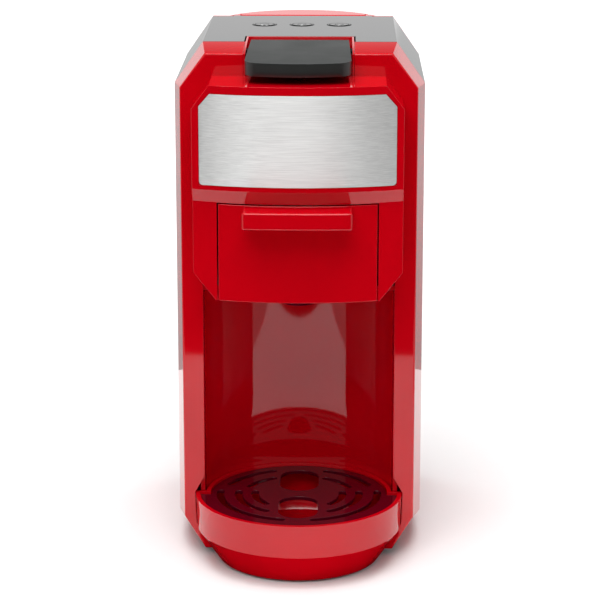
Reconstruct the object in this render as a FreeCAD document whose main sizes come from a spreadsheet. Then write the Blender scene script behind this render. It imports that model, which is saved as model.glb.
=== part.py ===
import FreeCAD, Part
import math
import operator
import os

import Sketcher
from FreeCAD import Placement, Rotation, Vector

# A single-cup pod coffee machine with a pod drawer under a fixed brew head, a press lever on
# top, a half-round cup bay, a lift-out drip tray and a water tank at the back.
#
# X points to the right of someone facing the machine, Y to its back and Z up. Every piece is
# drawn with Y counted from the face of the front frame, and is then moved along Y so that the
# origin lies under the middle of the whole machine.

# Driving sizes in millimetres, unless the name says angle, share or count.
SIZES = {
    # housing
    "body_width": 135.0,
    "body_height": 279.8,
    "body_depth": 139.0,
    "body_wall": 2.5,
    "body_shoulder": 15.4,
    "body_shoulder_drop": 22.1,
    "body_foot_inset": 11.5,
    "body_foot_rise": 12.1,
    "cover_skirt": 7.5,
    "foot_height": 3.3,
    "foot_radius": 6.0,
    "foot_inset": 17.0,
    "seam": 0.3,
    # front frame
    "frame_depth": 32.0,
    "frame_flare": 4.6,
    "frame_top_fall": 1.6,
    "frame_shoulder": 13.5,
    "frame_shoulder_drop": 18.3,
    "frame_foot_inset": 11.5,
    "frame_foot_rise": 18.6,
    "frame_round": 1.2,
    "frame_bridge": 6.0,
    # cup bay and brew head
    "bay_radius": 51.5,
    "bay_centre": 1.4,
    "bay_wall": 2.4,
    "head_base": 152.4,
    "head_half_width": 54.8,
    "head_top_fall": 13.4,
    "head_reach": 40.0,
    "head_blank": 50.0,
    "head_bow": 155.0,
    "head_step": 4.0,
    "head_step_rise": 7.0,
    "step_gap": 1.0,
    "head_shoulder": 9.2,
    "head_shoulder_drop": 12.7,
    "head_foot_inset": 12.0,
    "head_foot_rise": 14.1,
    "head_wall": 2.5,
    "head_round": 1.6,
    # steel fascia
    "fascia_half_width": 51.0,
    "fascia_margin": 4.4,
    "fascia_lift": 2.5,
    "fascia_corner_wide": 5.7,
    "fascia_corner_tall": 6.7,
    "fascia_thick": 1.0,
    "fascia_proud": 0.3,
    # pod drawer
    "drawer_half_width": 41.4,
    "drawer_height": 51.6,
    "drawer_gap": 0.7,
    "drawer_wall": 2.5,
    "drawer_travel": 70.0,
    "carrier_inset": 2.9,
    "carrier_back": 38.5,
    "deck_thick": 2.0,
    "rail_over": 6.0,
    "rail_height": 16.0,
    "handle_half_width": 28.3,
    "handle_height": 8.9,
    "handle_reach": 16.0,
    "handle_bow": 400.0,
    "handle_drop": 0.4,
    "handle_corner": 1.8,
    "handle_round": 0.9,
    "pod_radius": 25.8,
    "pod_taper": 3.2,
    "pod_depth": 40.0,
    "holder_wall": 1.6,
    "holder_flange": 4.2,
    "holder_rim": 2.0,
    "holder_sink": 4.0,
    "basket_wall": 0.6,
    "basket_drop": 1.0,
    "basket_hole": 0.8,
    "spout_radius": 11.3,
    "spout_bore": 3.0,
    "spout_reach": 8.6,
    "spout_nose": 2.0,
    "spout_nose_height": 3.0,
    # lever and plunger
    "lever_half_width": 27.6,
    "lever_front": 33.0,
    "lever_bow": 80.0,
    "lever_corner": 9.0,
    "lever_narrowing": 1.5,
    "lever_thick": 7.0,
    "lever_nose_drop": 2.4,
    "lever_barrel": 6.0,
    "lever_pivot_back": 43.5,
    "lever_pivot_drop": 6.8,
    "lever_tail_rise": 0.2,
    "lever_angle": 60.0,
    "well_back": 51.0,
    "well_wall": 1.0,
    "well_depth": 15.5,
    "well_clearance": 0.5,
    "well_seam": 0.1,
    "pin_radius": 1.5,
    "running_fit": 0.05,
    "plunger_radius": 27.6,
    "plunger_thick": 11.0,
    "plunger_flange": 4.0,
    "plunger_shoulder": 4.0,
    "plunger_lip": 1.5,
    "stem_free": 8.0,
    "gasket_width": 3.2,
    "gasket_height": 3.5,
    "gasket_gap": 0.5,
    "stem_radius": 7.0,
    "arm_height": 6.0,
    "arm_margin": 1.0,
    "guide_height": 9.0,
    "guide_front": 12.0,
    "guide_back": 16.0,
    "screen_thick": 0.8,
    "screen_inset": 1.0,
    "screen_hole": 0.9,
    "push_rod_radius": 3.5,
    "push_rod_back": 22.0,
    "spring_turns": 6.0,
    "spring_length": 9.0,
    "clearance": 0.4,
    # water tank and its lid
    "tank_bulge": 27.0,
    "tank_bow": 47.0,
    "tank_half_width": 40.2,
    "tank_front": 117.0,
    "tank_floor": 20.0,
    "tank_wall": 2.0,
    "tank_sink": 4.4,
    "strainer_radius": 6.5,
    "strainer_bore": 4.0,
    "strainer_top": 16.0,
    "strainer_cap": 1.5,
    "strainer_inset": 9.0,
    "lid_thick": 3.0,
    "lid_gap": 1.2,
    "lid_barrel": 2.6,
    "lid_ear": 36.0,
    "lid_ear_slope": 1.2,
    "lid_pin_radius": 1.0,
    "lid_pin_grip": 1.8,
    # drip tray and grille
    "tray_radius": 56.4,
    "tray_bay_gap": 0.7,
    "tray_rim": 36.0,
    "tray_band": 18.1,
    "tray_base": 1.3,
    "tray_draft": 0.7,
    "tray_bowl_inset": 12.2,
    "tray_step": 1.6,
    "tray_wall": 2.4,
    "tray_ledge": 2.0,
    "tray_ease": 1.0,
    "tray_back_chamfer": 5.0,
    "tray_back_base": 8.2,
    "tray_scoop_rise": 10.0,
    "grille_drop": 1.0,
    "grille_thick": 2.0,
    "grille_slot": 4.0,
    "grille_hole_half_width": 10.6,
    "grille_hole_end": 39.5,
    "grille_bar": 5.0,
    # controls
    "button_radius": 6.6,
    "button_pitch": 21.0,
    "button_back": 100.0,
    "button_travel": 0.8,
    "button_proud": 0.3,
    "button_gap": 0.3,
    "button_bevel": 0.6,
    "collar_thick": 1.5,
    "collar_width": 1.6,
    "board_half_width": 32.0,
    "board_drop": 17.0,
    "board_half_depth": 12.0,
    "board_thick": 1.6,
    "bracket_wall": 2.0,
    "switch_half": 3.0,
    "switch_height": 4.0,
    "switch_stem": 1.6,
    # boiler and plumbing
    "heater_half_width": 27.0,
    "heater_front": 62.0,
    "heater_depth": 34.0,
    "heater_floor": 14.0,
    "heater_height": 62.0,
    "heater_round": 5.0,
    "heater_skin": 6.0,
    "outlet_inset": 6.5,
    "outlet_back": 8.0,
    "thermostat_radius": 8.0,
    "thermostat_height": 5.0,
    "thermostat_dome": 1.5,
    "thermostat_step": 2.5,
    "fuse_radius": 2.4,
    "fuse_length": 16.0,
    "fuse_height": 40.0,
    "leg_half": 5.0,
    "leg_inset": 8.0,
    "hose_radius": 4.0,
    "hose_bore": 2.4,
    "hose_side": 22.0,
    "hose_rise": 10.0,
    "hose_bend": 12.0,
    "valve_radius": 6.5,
    "valve_front_gap": 6.0,
    "valve_back_gap": 5.0,
    "element_radius": 3.2,
    "element_end": 2.0,
    "gland_radius": 5.6,
    "gland_bore": 3.6,
    "gland_side": 52.0,
    "gland_height": 26.0,
    "gland_flange": 1.9,
    "gland_flange_thick": 2.0,
    "gland_half_length": 6.0,
    "terminal_width": 14.0,
    "terminal_half_depth": 8.0,
    "terminal_height": 16.0,
    "loom_side": 3.0,
    "loom_radius": 2.6,
    "screw_head": 3.2,
    "screw_shank": 1.5,
    "screw_length": 9.0,
    "base_screw_side": 50.0,
    "base_screw_front": 70.0,
    "base_screw_back": 104.0,
    "rear_screw_inset": 10.5,
    "rear_screw_low": 60.0,
    "rear_screw_drop": 20.0,
}

doc = FreeCAD.newDocument("pod_coffee_machine")
sheet = doc.addObject("Spreadsheet::Sheet", "sizes")


class Size:
    """A number together with the spreadsheet expression that gives it."""

    def __init__(self, value, text):
        self.value = float(value)
        self.text = text

    def combine(self, sign, work, other, swap=False):
        other = as_size(other)
        first, second = (other, self) if swap else (self, other)
        return Size(work(first.value, second.value), f"({first.text} {sign} {second.text})")

    def __add__(self, other):
        return self.combine("+", operator.add, other)

    def __radd__(self, other):
        return self.combine("+", operator.add, other, swap=True)

    def __sub__(self, other):
        return self.combine("-", operator.sub, other)

    def __rsub__(self, other):
        return self.combine("-", operator.sub, other, swap=True)

    def __mul__(self, other):
        return self.combine("*", operator.mul, other)

    def __rmul__(self, other):
        return self.combine("*", operator.mul, other, swap=True)

    def __truediv__(self, other):
        return self.combine("/", operator.truediv, other)

    def __neg__(self):
        return 0 - self


def as_size(number):
    """Any plain number as a Size."""
    if isinstance(number, Size):
        return number
    return Size(number, f"({float(number)!r})")


def root(size):
    return Size(math.sqrt(size.value), f"sqrt({size.text})")


def polar(radius, angle):
    """The X and Y of a point on a circle about the origin, with the angle in degrees."""
    angle = as_size(angle)
    turn = math.radians(angle.value)
    across = Size(math.cos(turn), f"cos({angle.text})")
    back = Size(math.sin(turn), f"sin({angle.text})")
    return radius * across, radius * back


class Sizes:
    """The sheet's cells by name."""


S = Sizes()
for row, (name, number) in enumerate(SIZES.items(), start=1):
    sheet.set(f"A{row}", name)
    sheet.set(f"B{row}", repr(number))
    sheet.setAlias(f"B{row}", name)
    setattr(S, name, Size(number, f"sizes.{name}"))
doc.recompute()

# how far a cutting tool runs past the solid that it cuts
OVER = 1.0
HALF = S.body_width / 2
TRAY_FOOT = S.tray_radius - S.tray_bowl_inset
MACHINE_FRONT = S.tray_radius - S.bay_centre
MACHINE_BACK = S.body_depth + S.tank_bulge
SHIFT = (MACHINE_FRONT - MACHINE_BACK) / 2
FRAME_TOP = S.body_height - S.frame_top_fall
HEAD_TOP = S.body_height - S.head_top_fall
DRAWER_TOP = S.head_base + S.drawer_height
STEP_BASE = DRAWER_TOP + S.step_gap
RIM_TOP = DRAWER_TOP - S.holder_sink
COVER_EDGE = S.body_height - S.body_shoulder_drop - S.cover_skirt
BASE_TOP = S.foot_height + S.body_wall
PIVOT_Z = S.body_height - S.lever_pivot_drop
WELL_FLOOR = S.body_height - S.well_depth
COLUMN_TOP = S.body_height - S.lid_thick - S.clearance
COLUMN_CENTRE = S.body_depth + S.tank_bulge - S.tank_bow
TANK_TOP = COLUMN_TOP - S.tank_sink
GASKET_LOW = RIM_TOP + S.gasket_gap
GUIDE_LOW = GASKET_LOW + S.plunger_thick + S.gasket_height + S.stem_free
GUIDE_TOP = GUIDE_LOW + S.guide_height
ARM_LOW = GUIDE_TOP + S.spring_length
LEVER_RUN = S.lever_front + S.lever_pivot_back - S.lever_barrel
LEVER_NOSE = S.body_height - S.lever_nose_drop
LEVER_TAIL = S.body_height + S.lever_tail_rise
LEVER_SLOPE = (S.lever_tail_rise + S.lever_nose_drop) / LEVER_RUN

PLANES = {"XY": ("XY_Plane", 1), "XZ": ("XZ_Plane", -1), "YZ": ("YZ_Plane", 1)}
pieces = []


def bind(item, path, size):
    item.setExpression(path, as_size(size).text)


def box(low_x, low_y, high_x, high_y):
    """The four corners of a rectangle."""
    return [(low_x, low_y), (high_x, low_y), (high_x, high_y), (low_x, high_y)]


def circle(x, y, radius):
    return {"x": x, "y": y, "radius": radius}


def slot(x, low_y, high_y, half_width):
    """A long hole along the second axis with round ends."""
    return [
        (x + half_width, low_y + half_width, half_width),
        (x + half_width, high_y - half_width),
        (x, high_y, half_width),
        (x - half_width, high_y - half_width, half_width),
        (x - half_width, low_y + half_width),
        (x, low_y, half_width),
    ]


def ring_slot(radius, half_width, start, end):
    """A slot that follows a circle about the origin from one angle to another, in degrees."""
    inner, outer = radius - half_width, radius + half_width
    return [
        (*polar(outer, start), half_width * 1.02),
        (*polar(outer, end), outer),
        (*polar(inner, end), half_width * 1.02),
        (*polar(inner, start), -inner),
    ]


def edge(start, end, radius):
    """A straight or round edge, and which of its ends is the start of travel."""
    if radius is None:
        return Part.LineSegment(start, end), (1, 2)
    reach = abs(radius.value)
    chord = end - start
    rise = math.sqrt(max(reach * reach - chord.Length ** 2 / 4, 0.0))
    left = Vector(-chord.y, chord.x, 0).normalize()
    side = 1 if radius.value > 0 else -1
    centre = (start + end) / 2 + left * rise * side
    first, last = (start, end) if side > 0 else (end, start)
    low = math.atan2(first.y - centre.y, first.x - centre.x)
    high = math.atan2(last.y - centre.y, last.x - centre.x)
    if high <= low:
        high += 2 * math.pi
    arc = Part.ArcOfCircle(Part.Circle(centre, Vector(0, 0, 1), reach), low, high)
    return arc, ((1, 2) if side > 0 else (2, 1))


def limit(sketch, kind, where, size):
    """Add one constraint and tie it to the sheet."""
    index = sketch.addConstraint(Sketcher.Constraint(kind, *where, size.value))
    sketch.setExpression(f"Constraints[{index}]", size.text)


def draw_circle(sketch, loop):
    x, y, radius = (as_size(loop[key]) for key in ("x", "y", "radius"))
    centre = Vector(x.value, y.value, 0)
    index = sketch.addGeometry(Part.Circle(centre, Vector(0, 0, 1), radius.value), False)
    limit(sketch, "Radius", (index,), radius)
    limit(sketch, "DistanceX", (-1, 1, index, 3), x)
    limit(sketch, "DistanceY", (-1, 1, index, 3), y)


def draw_path(sketch, points, closed=True):
    """Draw edges through points (x, y) or (x, y, radius of the arc that ends there)."""
    points = [tuple(as_size(number) for number in point) for point in points]
    spots = [Vector(point[0].value, point[1].value, 0) for point in points]
    edges = []
    for index, point in enumerate(points):
        if index == 0 and not closed:
            continue
        radius = point[2] if len(point) == 3 else None
        shape, ends = edge(spots[index - 1], spots[index], radius)
        item = sketch.addGeometry(shape, False)
        edges.append((item, ends, point))
    for index, (item, ends, point) in enumerate(edges):
        if index + 1 < len(edges) or closed:
            after, after_ends, _ = edges[(index + 1) % len(edges)]
            sketch.addConstraint(
                Sketcher.Constraint("Coincident", item, ends[1], after, after_ends[0]))
        limit(sketch, "DistanceX", (-1, 1, item, ends[1]), point[0])
        limit(sketch, "DistanceY", (-1, 1, item, ends[1]), point[1])
        if len(point) == 3:
            size = point[2] if point[2].value > 0 else -point[2]
            limit(sketch, "Radius", (item,), size)
    if not closed:
        item, ends, _ = edges[0]
        limit(sketch, "DistanceX", (-1, 1, item, ends[0]), points[0][0])
        limit(sketch, "DistanceY", (-1, 1, item, ends[0]), points[0][1])


class Piece:
    """A PartDesign body whose sketches and features are tied to the sheet."""

    def __init__(self, label):
        self.body = doc.addObject("PartDesign::Body", label)
        self.body.Label = label

    def sketch(self, plane, offset, loops, axis=(0, 0), closed=True):
        """A sketch on one of the body's origin planes, moved along that plane's world axis."""
        role, sense = PLANES[plane]
        item = self.body.newObject("Sketcher::SketchObject", "Sketch")
        base = next(part for part in self.body.Origin.OriginFeatures if part.Role == role)
        item.AttachmentSupport = [(base, "")]
        item.MapMode = "FlatFace"
        bind(item, "AttachmentOffset.Base.x", axis[0])
        bind(item, "AttachmentOffset.Base.y", axis[1])
        bind(item, "AttachmentOffset.Base.z", as_size(offset) * sense)
        for loop in loops:
            if isinstance(loop, dict):
                draw_circle(item, loop)
            else:
                draw_path(item, loop, closed)
        return item

    def extrude(self, kind, plane, start, end, loops, axis, forward):
        item = self.body.newObject(kind, kind.split("::")[1])
        item.Profile = self.sketch(plane, start, loops, axis)
        item.Reversed = (PLANES[plane][1] > 0) != forward
        bind(item, "Length", end - start)
        doc.recompute()
        return item

    def pad(self, plane, start, end, *loops, axis=(0, 0)):
        """Add material between two coordinates on the plane's world axis."""
        return self.extrude("PartDesign::Pad", plane, start, end, loops, axis, True)

    def cut(self, plane, start, end, *loops, axis=(0, 0)):
        """Take material away between two coordinates on the plane's world axis."""
        return self.extrude("PartDesign::Pocket", plane, start, end, loops, axis, False)

    def turn(self, x, y, *loops, angle=360.0, cut=False, reverse=False):
        """Turn loops of (radius, height) about a vertical axis at x, y."""
        kind = "PartDesign::Groove" if cut else "PartDesign::Revolution"
        profile = self.sketch("XZ", y, loops, (x, 0))
        item = self.body.newObject(kind, kind.split("::")[1])
        item.Profile = profile
        item.ReferenceAxis = (profile, ["V_Axis"])
        item.Angle = angle
        item.Reversed = reverse
        doc.recompute()
        return item

    def loft(self, sections, cut=False):
        """Straight walls from one XZ outline to another; sections are (y, loop)."""
        kind = "PartDesign::SubtractiveLoft" if cut else "PartDesign::AdditiveLoft"
        sketches = [self.sketch("XZ", offset, [loop]) for offset, loop in sections]
        item = self.body.newObject(kind, "Loft")
        item.Profile = sketches[0]
        item.Sections = sketches[1:]
        item.Ruled = True
        doc.recompute()
        return item

    def dress(self, kind, radius, test):
        """Fillet or chamfer the edges that pass a test."""
        tip = self.body.Tip
        names = [f"Edge{number}" for number, line in enumerate(tip.Shape.Edges, start=1) if test(line)]
        if not names:
            raise ValueError(f"{self.body.Label}: no edge to dress")
        item = self.body.newObject(kind, kind.split("::")[1])
        item.Base = (tip, names)
        bind(item, "Radius" if kind.endswith("Fillet") else "Size", radius)
        doc.recompute()
        return item

    def fillet(self, radius, test):
        return self.dress("PartDesign::Fillet", radius, test)

    def done(self):
        """Put the finished body in its place and list it as a sub-part."""
        return finish(self.body)


def finish(item, shift=True):
    if shift:
        bind(item, "Placement.Base.y", SHIFT)
    pieces.append(item)
    return item


def boolean(kind, label, first, *others):
    """Part::Cut, Part::MultiFuse or Part::MultiCommon of whole objects."""
    item = doc.addObject(kind, label)
    item.Label = label
    if kind == "Part::Cut":
        item.Base = first
        item.Tool = others[0] if len(others) == 1 else boolean("Part::MultiFuse", label + "_tools", *others)
    else:
        item.Shapes = [first, *others]
    doc.recompute()
    return item


def block(label, low, high):
    """A Part::Box between two corners."""
    item = doc.addObject("Part::Box", label)
    for side, path, first, last in zip(("Length", "Width", "Height"), "xyz", low, high):
        bind(item, side, as_size(last) - first)
        bind(item, f"Placement.Base.{path}", first)
    return item


AXES = {"X": Rotation(Vector(0, 1, 0), 90), "Y": Rotation(Vector(1, 0, 0), -90), "Z": Rotation()}


def rod(label, axis, base, radius, length):
    """A Part::Cylinder that starts at a point and runs along X, Y or Z."""
    item = doc.addObject("Part::Cylinder", label)
    item.Placement = Placement(Vector(), AXES[axis])
    bind(item, "Radius", radius)
    bind(item, "Height", length)
    for path, place in zip("xyz", base):
        bind(item, f"Placement.Base.{path}", place)
    return item


def group(label, items):
    """Separate solids that share one node."""
    item = doc.addObject("Part::Compound", label)
    item.Label = label
    item.Links = items
    doc.recompute()
    return finish(item)


def lies(line, **near):
    """True when every point of an edge has the given coordinates."""
    spots = [vertex.Point for vertex in line.Vertexes]
    return all(abs(getattr(spot, axis) - as_size(place).value) < 0.02
               for spot in spots for axis, place in near.items())


def octagon(half, top, shoulder, drop, bottom, foot, rise, inset=0):
    """An upright outline with four cut corners, or the same outline moved in by a wall."""
    across, down = inset * 0.5, inset * 0.3
    return [
        (half - inset, bottom + rise + down), (half - inset, top - drop - down),
        (half - shoulder - across, top - inset), (-half + shoulder + across, top - inset),
        (-half + inset, top - drop - down), (-half + inset, bottom + rise + down),
        (-half + foot + across, bottom + inset), (half - foot - across, bottom + inset),
    ]


def body_outline(inset=0):
    return octagon(HALF, S.body_height, S.body_shoulder, S.body_shoulder_drop,
                   S.foot_height, S.body_foot_inset, S.body_foot_rise, inset)


def face_outline(inset=0):
    return octagon(HALF - S.frame_flare, FRAME_TOP, S.frame_shoulder, S.frame_shoulder_drop,
                   S.foot_height, S.frame_foot_inset, S.frame_foot_rise, inset)


def bow(reach, radius, x):
    """Y of a front that bulges towards the user, at a distance from the middle."""
    return radius - reach - root(radius * radius - x * x)


def pipe(label, x, path, outer, bore=None):
    """A tube along a path of (y, z) points in a plane of constant x."""
    piece = Piece(label)
    for radius, cut in ((outer, False), (bore, True)):
        if radius is None:
            continue
        spine = piece.sketch("YZ", x, [path], closed=False)
        first, second = path[0], path[1]
        upright = abs(as_size(first[0]).value - as_size(second[0]).value) < 1e-6
        if upright:
            profile = piece.sketch("XY", first[1], [circle(x, first[0], radius)])
        else:
            profile = piece.sketch("XZ", first[0], [circle(x, first[1], radius)])
        kind = "Subtractive" if cut else "Additive"
        item = piece.body.newObject(f"PartDesign::{kind}Pipe", "Pipe")
        item.Profile = profile
        item.Spine = spine
        doc.recompute()
    return piece.done()


# ---------------------------------------------------------------- housing

def front_frame():
    """The glossy front moulding: face, flared sides and the mouth of the cup bay."""
    outer = Piece("frame_outer")
    edge_round = S.frame_round
    ease = edge_round * 0.3
    outer.loft([(0, face_outline(edge_round)), (ease, face_outline(ease)),
                (edge_round, face_outline()), (S.frame_depth, body_outline())])
    inner = Piece("frame_room")
    inner.loft([(S.body_wall, face_outline(S.body_wall)), (S.frame_depth, body_outline(S.body_wall))])
    mouth = S.bay_radius
    window = S.drawer_half_width + S.drawer_gap
    notch = S.lever_half_width + S.well_clearance + S.well_wall + S.well_seam
    openings = Piece("frame_openings")
    openings.pad("XZ", -OVER, S.body_wall + OVER, box(-mouth, S.tray_rim, mouth, S.head_base + S.head_wall))
    openings.pad("XZ", -OVER, S.body_wall + OVER,
                 box(-window, S.head_base - OVER, window, WELL_FLOOR - S.clearance - S.frame_bridge))
    # the cup bay's wall, the tray and the base plate fill the floor between the legs
    liner = S.bay_radius + S.bay_wall + S.clearance
    openings.pad("XZ", S.body_wall, S.frame_depth + OVER, box(-liner, 0, liner, S.tray_rim))
    lever_room = block("lever_room", (-notch, -OVER, WELL_FLOOR - S.well_seam),
                       (notch, S.frame_depth + OVER, S.body_height + S.body_wall))
    # room for the tray's bowl, and a crescent scoop round its rim
    scoop = S.tray_radius + S.clearance
    scoop_top = S.tray_rim + S.tray_scoop_rise
    foot = TRAY_FOOT + S.clearance * 2
    crescent = Piece("frame_scoop")
    crescent.turn(0, S.bay_centre, [
        (0, 0), (foot, 0), (foot, S.tray_base), (scoop - S.tray_draft, S.tray_band), (scoop, S.tray_rim),
        (mouth - S.clearance, scoop_top), (0, scoop_top)])
    return finish(boolean("Part::Cut", "front_frame", outer.body, inner.body, openings.body,
                          lever_room, crescent.body))


def side_panel(label, side):
    """A flat side wall with the cut corner at its foot."""
    piece = Piece(label)
    wall = S.body_wall
    outer, foot = HALF * side, (HALF - S.body_foot_inset) * side
    inner, foot_in = (HALF - wall) * side, (HALF - S.body_foot_inset - wall * 0.5) * side
    low, high = S.foot_height, COVER_EDGE - S.seam
    piece.pad("XZ", S.frame_depth, S.body_depth - wall, [
        (outer, low + S.body_foot_rise), (outer, high), (inner, high),
        (inner, low + S.body_foot_rise + wall * 0.3), (foot_in, low + wall), (foot, low),
    ])
    return piece.done()


def top_cover():
    """The glossy black cap over the top and both shoulders, with holes for lever and buttons."""
    piece = Piece("top_cover")
    outer = body_outline()[1:5]
    inner = body_outline(S.body_wall)[1:5]
    low, back = COVER_EDGE, S.body_depth - S.body_wall
    under = S.body_height - S.body_wall
    loop = [(HALF, low), *outer, (-HALF, low), (-HALF + S.body_wall, low), *reversed(inner),
            (HALF - S.body_wall, low)]
    piece.pad("XZ", S.frame_depth, back, loop)
    piece.pad("XY", under, S.body_height,
              box(-S.tank_half_width, back - OVER, S.tank_half_width, S.body_depth))
    notch = S.lever_half_width + S.well_clearance + S.well_wall + S.clearance * 2
    notch_back = S.well_back + S.well_wall + S.clearance * 2
    below, above = under - S.body_wall, S.body_height + OVER
    piece.cut("XY", below, above, box(-notch, S.frame_depth, notch, notch_back))
    holes = [circle(S.button_pitch * place, S.button_back, S.button_radius + S.button_gap)
             for place in (-1, 0, 1)]
    piece.cut("XY", below, above, *holes)
    return piece.done()


def rear_screw_spots():
    """X and Z of the four screws through the back wall."""
    reach, high = HALF - S.rear_screw_inset, COVER_EDGE - S.rear_screw_drop
    return [(side * reach, z) for z in (S.rear_screw_low, high) for side in (1, -1)]


def rear_shell():
    """The back wall with the half-round column that holds the water tank and the lid's ears."""
    wall = Piece("rear_wall")
    front = S.body_depth - S.body_wall
    wall.pad("XZ", front, S.body_depth, body_outline())
    opening = S.tank_half_width + S.clearance * 2
    wall.cut("XZ", front, S.body_depth,
             box(-opening, S.tank_floor - S.clearance, opening, S.body_height + S.body_wall))
    wall.cut("XZ", front, S.body_depth, circle(-S.gland_side, S.gland_height, S.gland_radius))
    wall.cut("XZ", front, S.body_depth, *[circle(x, z, S.screw_shank) for x, z in rear_screw_spots()])
    column = Piece("rear_column")
    low = S.tank_floor - S.body_wall * 4
    column.pad("XY", low, COLUMN_TOP, circle(0, COLUMN_CENTRE, S.tank_bow))
    column.cut("XY", low + S.body_wall, COLUMN_TOP, circle(0, COLUMN_CENTRE, S.tank_bow - S.body_wall))
    front_room = box(-S.body_width, -S.body_depth, S.body_width, S.body_depth)
    column.cut("XY", low, COLUMN_TOP, front_room)
    # the corners beside the lid, which carry its hinge pin
    ears = Piece("lid_ears")
    ear = S.lid_ear + S.clearance
    ear_back = S.body_depth + S.lid_gap + S.lid_barrel * 2 + S.clearance
    ears.pad("XY", TANK_TOP + S.clearance, S.body_height, circle(0, COLUMN_CENTRE, S.tank_bow))
    ears.cut("XY", TANK_TOP + S.clearance, S.body_height, front_room)
    far = S.body_depth * 2
    ears.cut("XY", TANK_TOP + S.clearance, S.body_height, box(-S.body_width, ear_back, S.body_width, far))
    ears.cut("XY", TANK_TOP + S.clearance, S.body_height, box(-ear, 0, ear, far))
    slope = S.lid_ear_slope
    ears.cut("YZ", -HALF, HALF, [
        (ear_back - slope, S.body_height + slope), (ear_back - slope, S.body_height),
        (ear_back, S.body_height - slope), (ear_back + slope, S.body_height - slope),
        (ear_back + slope, S.body_height + slope)])
    bore = rod("ear_bore", "X", (-HALF, *lid_axis()), S.lid_pin_radius, S.body_width)
    solid_ears = boolean("Part::Cut", "bored_ears", ears.body, bore)
    whole = boolean("Part::MultiFuse", "rear_shell", wall.body, column.body, solid_ears)
    return finish(whole)


def lid_axis():
    """Y and Z of the tank lid's hinge."""
    return S.body_depth + S.lid_gap + S.lid_barrel, S.body_height - S.lid_barrel


def tank_lid():
    """The half-round lid over the tank, with a hinge barrel along its straight edge."""
    hinge_y, hinge_z = lid_axis()
    plate = Piece("lid_plate")
    low = S.body_height - S.lid_thick
    step = S.body_depth + S.lid_gap + S.lid_barrel * 2 + S.clearance * 3
    reach = step - COLUMN_CENTRE
    edge_x = root(S.tank_bow * S.tank_bow - reach * reach)
    ear = S.lid_ear
    plate.pad("XY", low, S.body_height, [
        (ear, hinge_y), (ear, step), (edge_x, step), (0, COLUMN_CENTRE + S.tank_bow, S.tank_bow),
        (-edge_x, step, S.tank_bow), (-ear, step), (-ear, hinge_y),
    ])
    barrel = rod("lid_barrel_rod", "X", (-ear, hinge_y, hinge_z), S.lid_barrel, ear * 2)
    solid = boolean("Part::MultiFuse", "lid_solid", plate.body, barrel)
    bore = rod("lid_bore", "X", (-HALF, hinge_y, hinge_z), S.lid_pin_radius + S.running_fit, S.body_width)
    finish(boolean("Part::Cut", "tank_lid", solid, bore))
    pin_half = ear + S.clearance + S.lid_pin_grip
    pin = rod("tank_lid_pin", "X", (-pin_half, hinge_y + SHIFT, hinge_z), S.lid_pin_radius, pin_half * 2)
    finish(pin, shift=False)


def base_parts():
    """The black floor with its feet and screws."""
    piece = Piece("base_plate")
    front = S.bay_centre + S.tray_step + S.clearance
    half, wide = S.bay_radius - S.clearance, HALF - S.body_foot_inset - S.body_wall * 0.5
    step, back = S.frame_depth, S.body_depth - S.body_wall
    piece.pad("XY", S.foot_height, BASE_TOP, [
        (-half, front), (half, front), (half, step), (wide, step), (wide, back), (-wide, back),
        (-wide, step), (-half, step)])
    spots = [(S.base_screw_side * side, y) for y in (S.base_screw_front, S.base_screw_back) for side in (-1, 1)]
    piece.cut("XY", S.foot_height, BASE_TOP, *[circle(x, y, S.screw_shank) for x, y in spots])
    piece.done()
    side = HALF - S.foot_inset - S.foot_radius
    foot_front = S.bay_centre + S.foot_inset
    foot_back = S.body_depth - S.foot_inset
    feet = [rod(f"foot_{number}", "Z", (x, y, 0), S.foot_radius, S.foot_height)
            for number, (x, y) in enumerate(
                [(side, foot_front), (-side, foot_front), (side, foot_back), (-side, foot_back)], start=1)]
    group("rubber_feet", feet)
    screws = [screw(f"base_screw_{number}", "Z", (x, y, S.foot_height), 1)
              for number, (x, y) in enumerate(spots, start=1)]
    group("base_screws", screws)
    screws = [screw(f"rear_screw_{number}", "Y", (x, S.body_depth, z), -1)
              for number, (x, z) in enumerate(rear_screw_spots(), start=1)]
    group("rear_screws", screws)


def screw(label, axis, seat, sense):
    """A pan-head screw whose head lies on a seat and whose shank runs along an axis."""
    head_height = S.screw_shank
    x, y, z = seat
    move = {"Y": lambda step: (x, y + step, z), "Z": lambda step: (x, y, z + step)}[axis]
    head_start = -head_height if sense > 0 else as_size(0)
    shank_start = as_size(0) if sense > 0 else -S.screw_length
    head = rod(label + "_head", axis, move(head_start), S.screw_head, head_height)
    shank = rod(label + "_shank", axis, move(shank_start), S.screw_shank, S.screw_length)
    return boolean("Part::MultiFuse", label, head, shank)


def cup_bay():
    """The half-round wall behind the cup, with a roof that has a slot for the spout."""
    piece = Piece("cup_bay_liner")
    front, centre = S.body_wall, S.bay_centre
    radius, outer = S.bay_radius, S.bay_radius + S.bay_wall
    roof = S.head_base - S.bay_wall
    piece.pad("XY", BASE_TOP, S.head_base, circle(0, centre, outer))
    piece.cut("XY", BASE_TOP, roof, circle(0, centre, radius))
    piece.cut("XY", BASE_TOP, S.head_base, box(-outer * 2, -outer * 2, outer * 2, front))
    spout = S.spout_radius + S.drawer_gap
    piece.cut("XY", roof, S.head_base,
              [(-spout, -spout), (spout, -spout), (spout, centre), (0, centre + spout, spout),
               (-spout, centre, spout)])
    scoop = S.tray_radius + S.clearance
    behind = centre + S.tray_step + S.clearance
    piece.cut("XY", BASE_TOP, S.tray_rim + S.clearance, box(-scoop, 0, scoop, behind))
    return piece.done()


# ---------------------------------------------------------------- brew head

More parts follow.
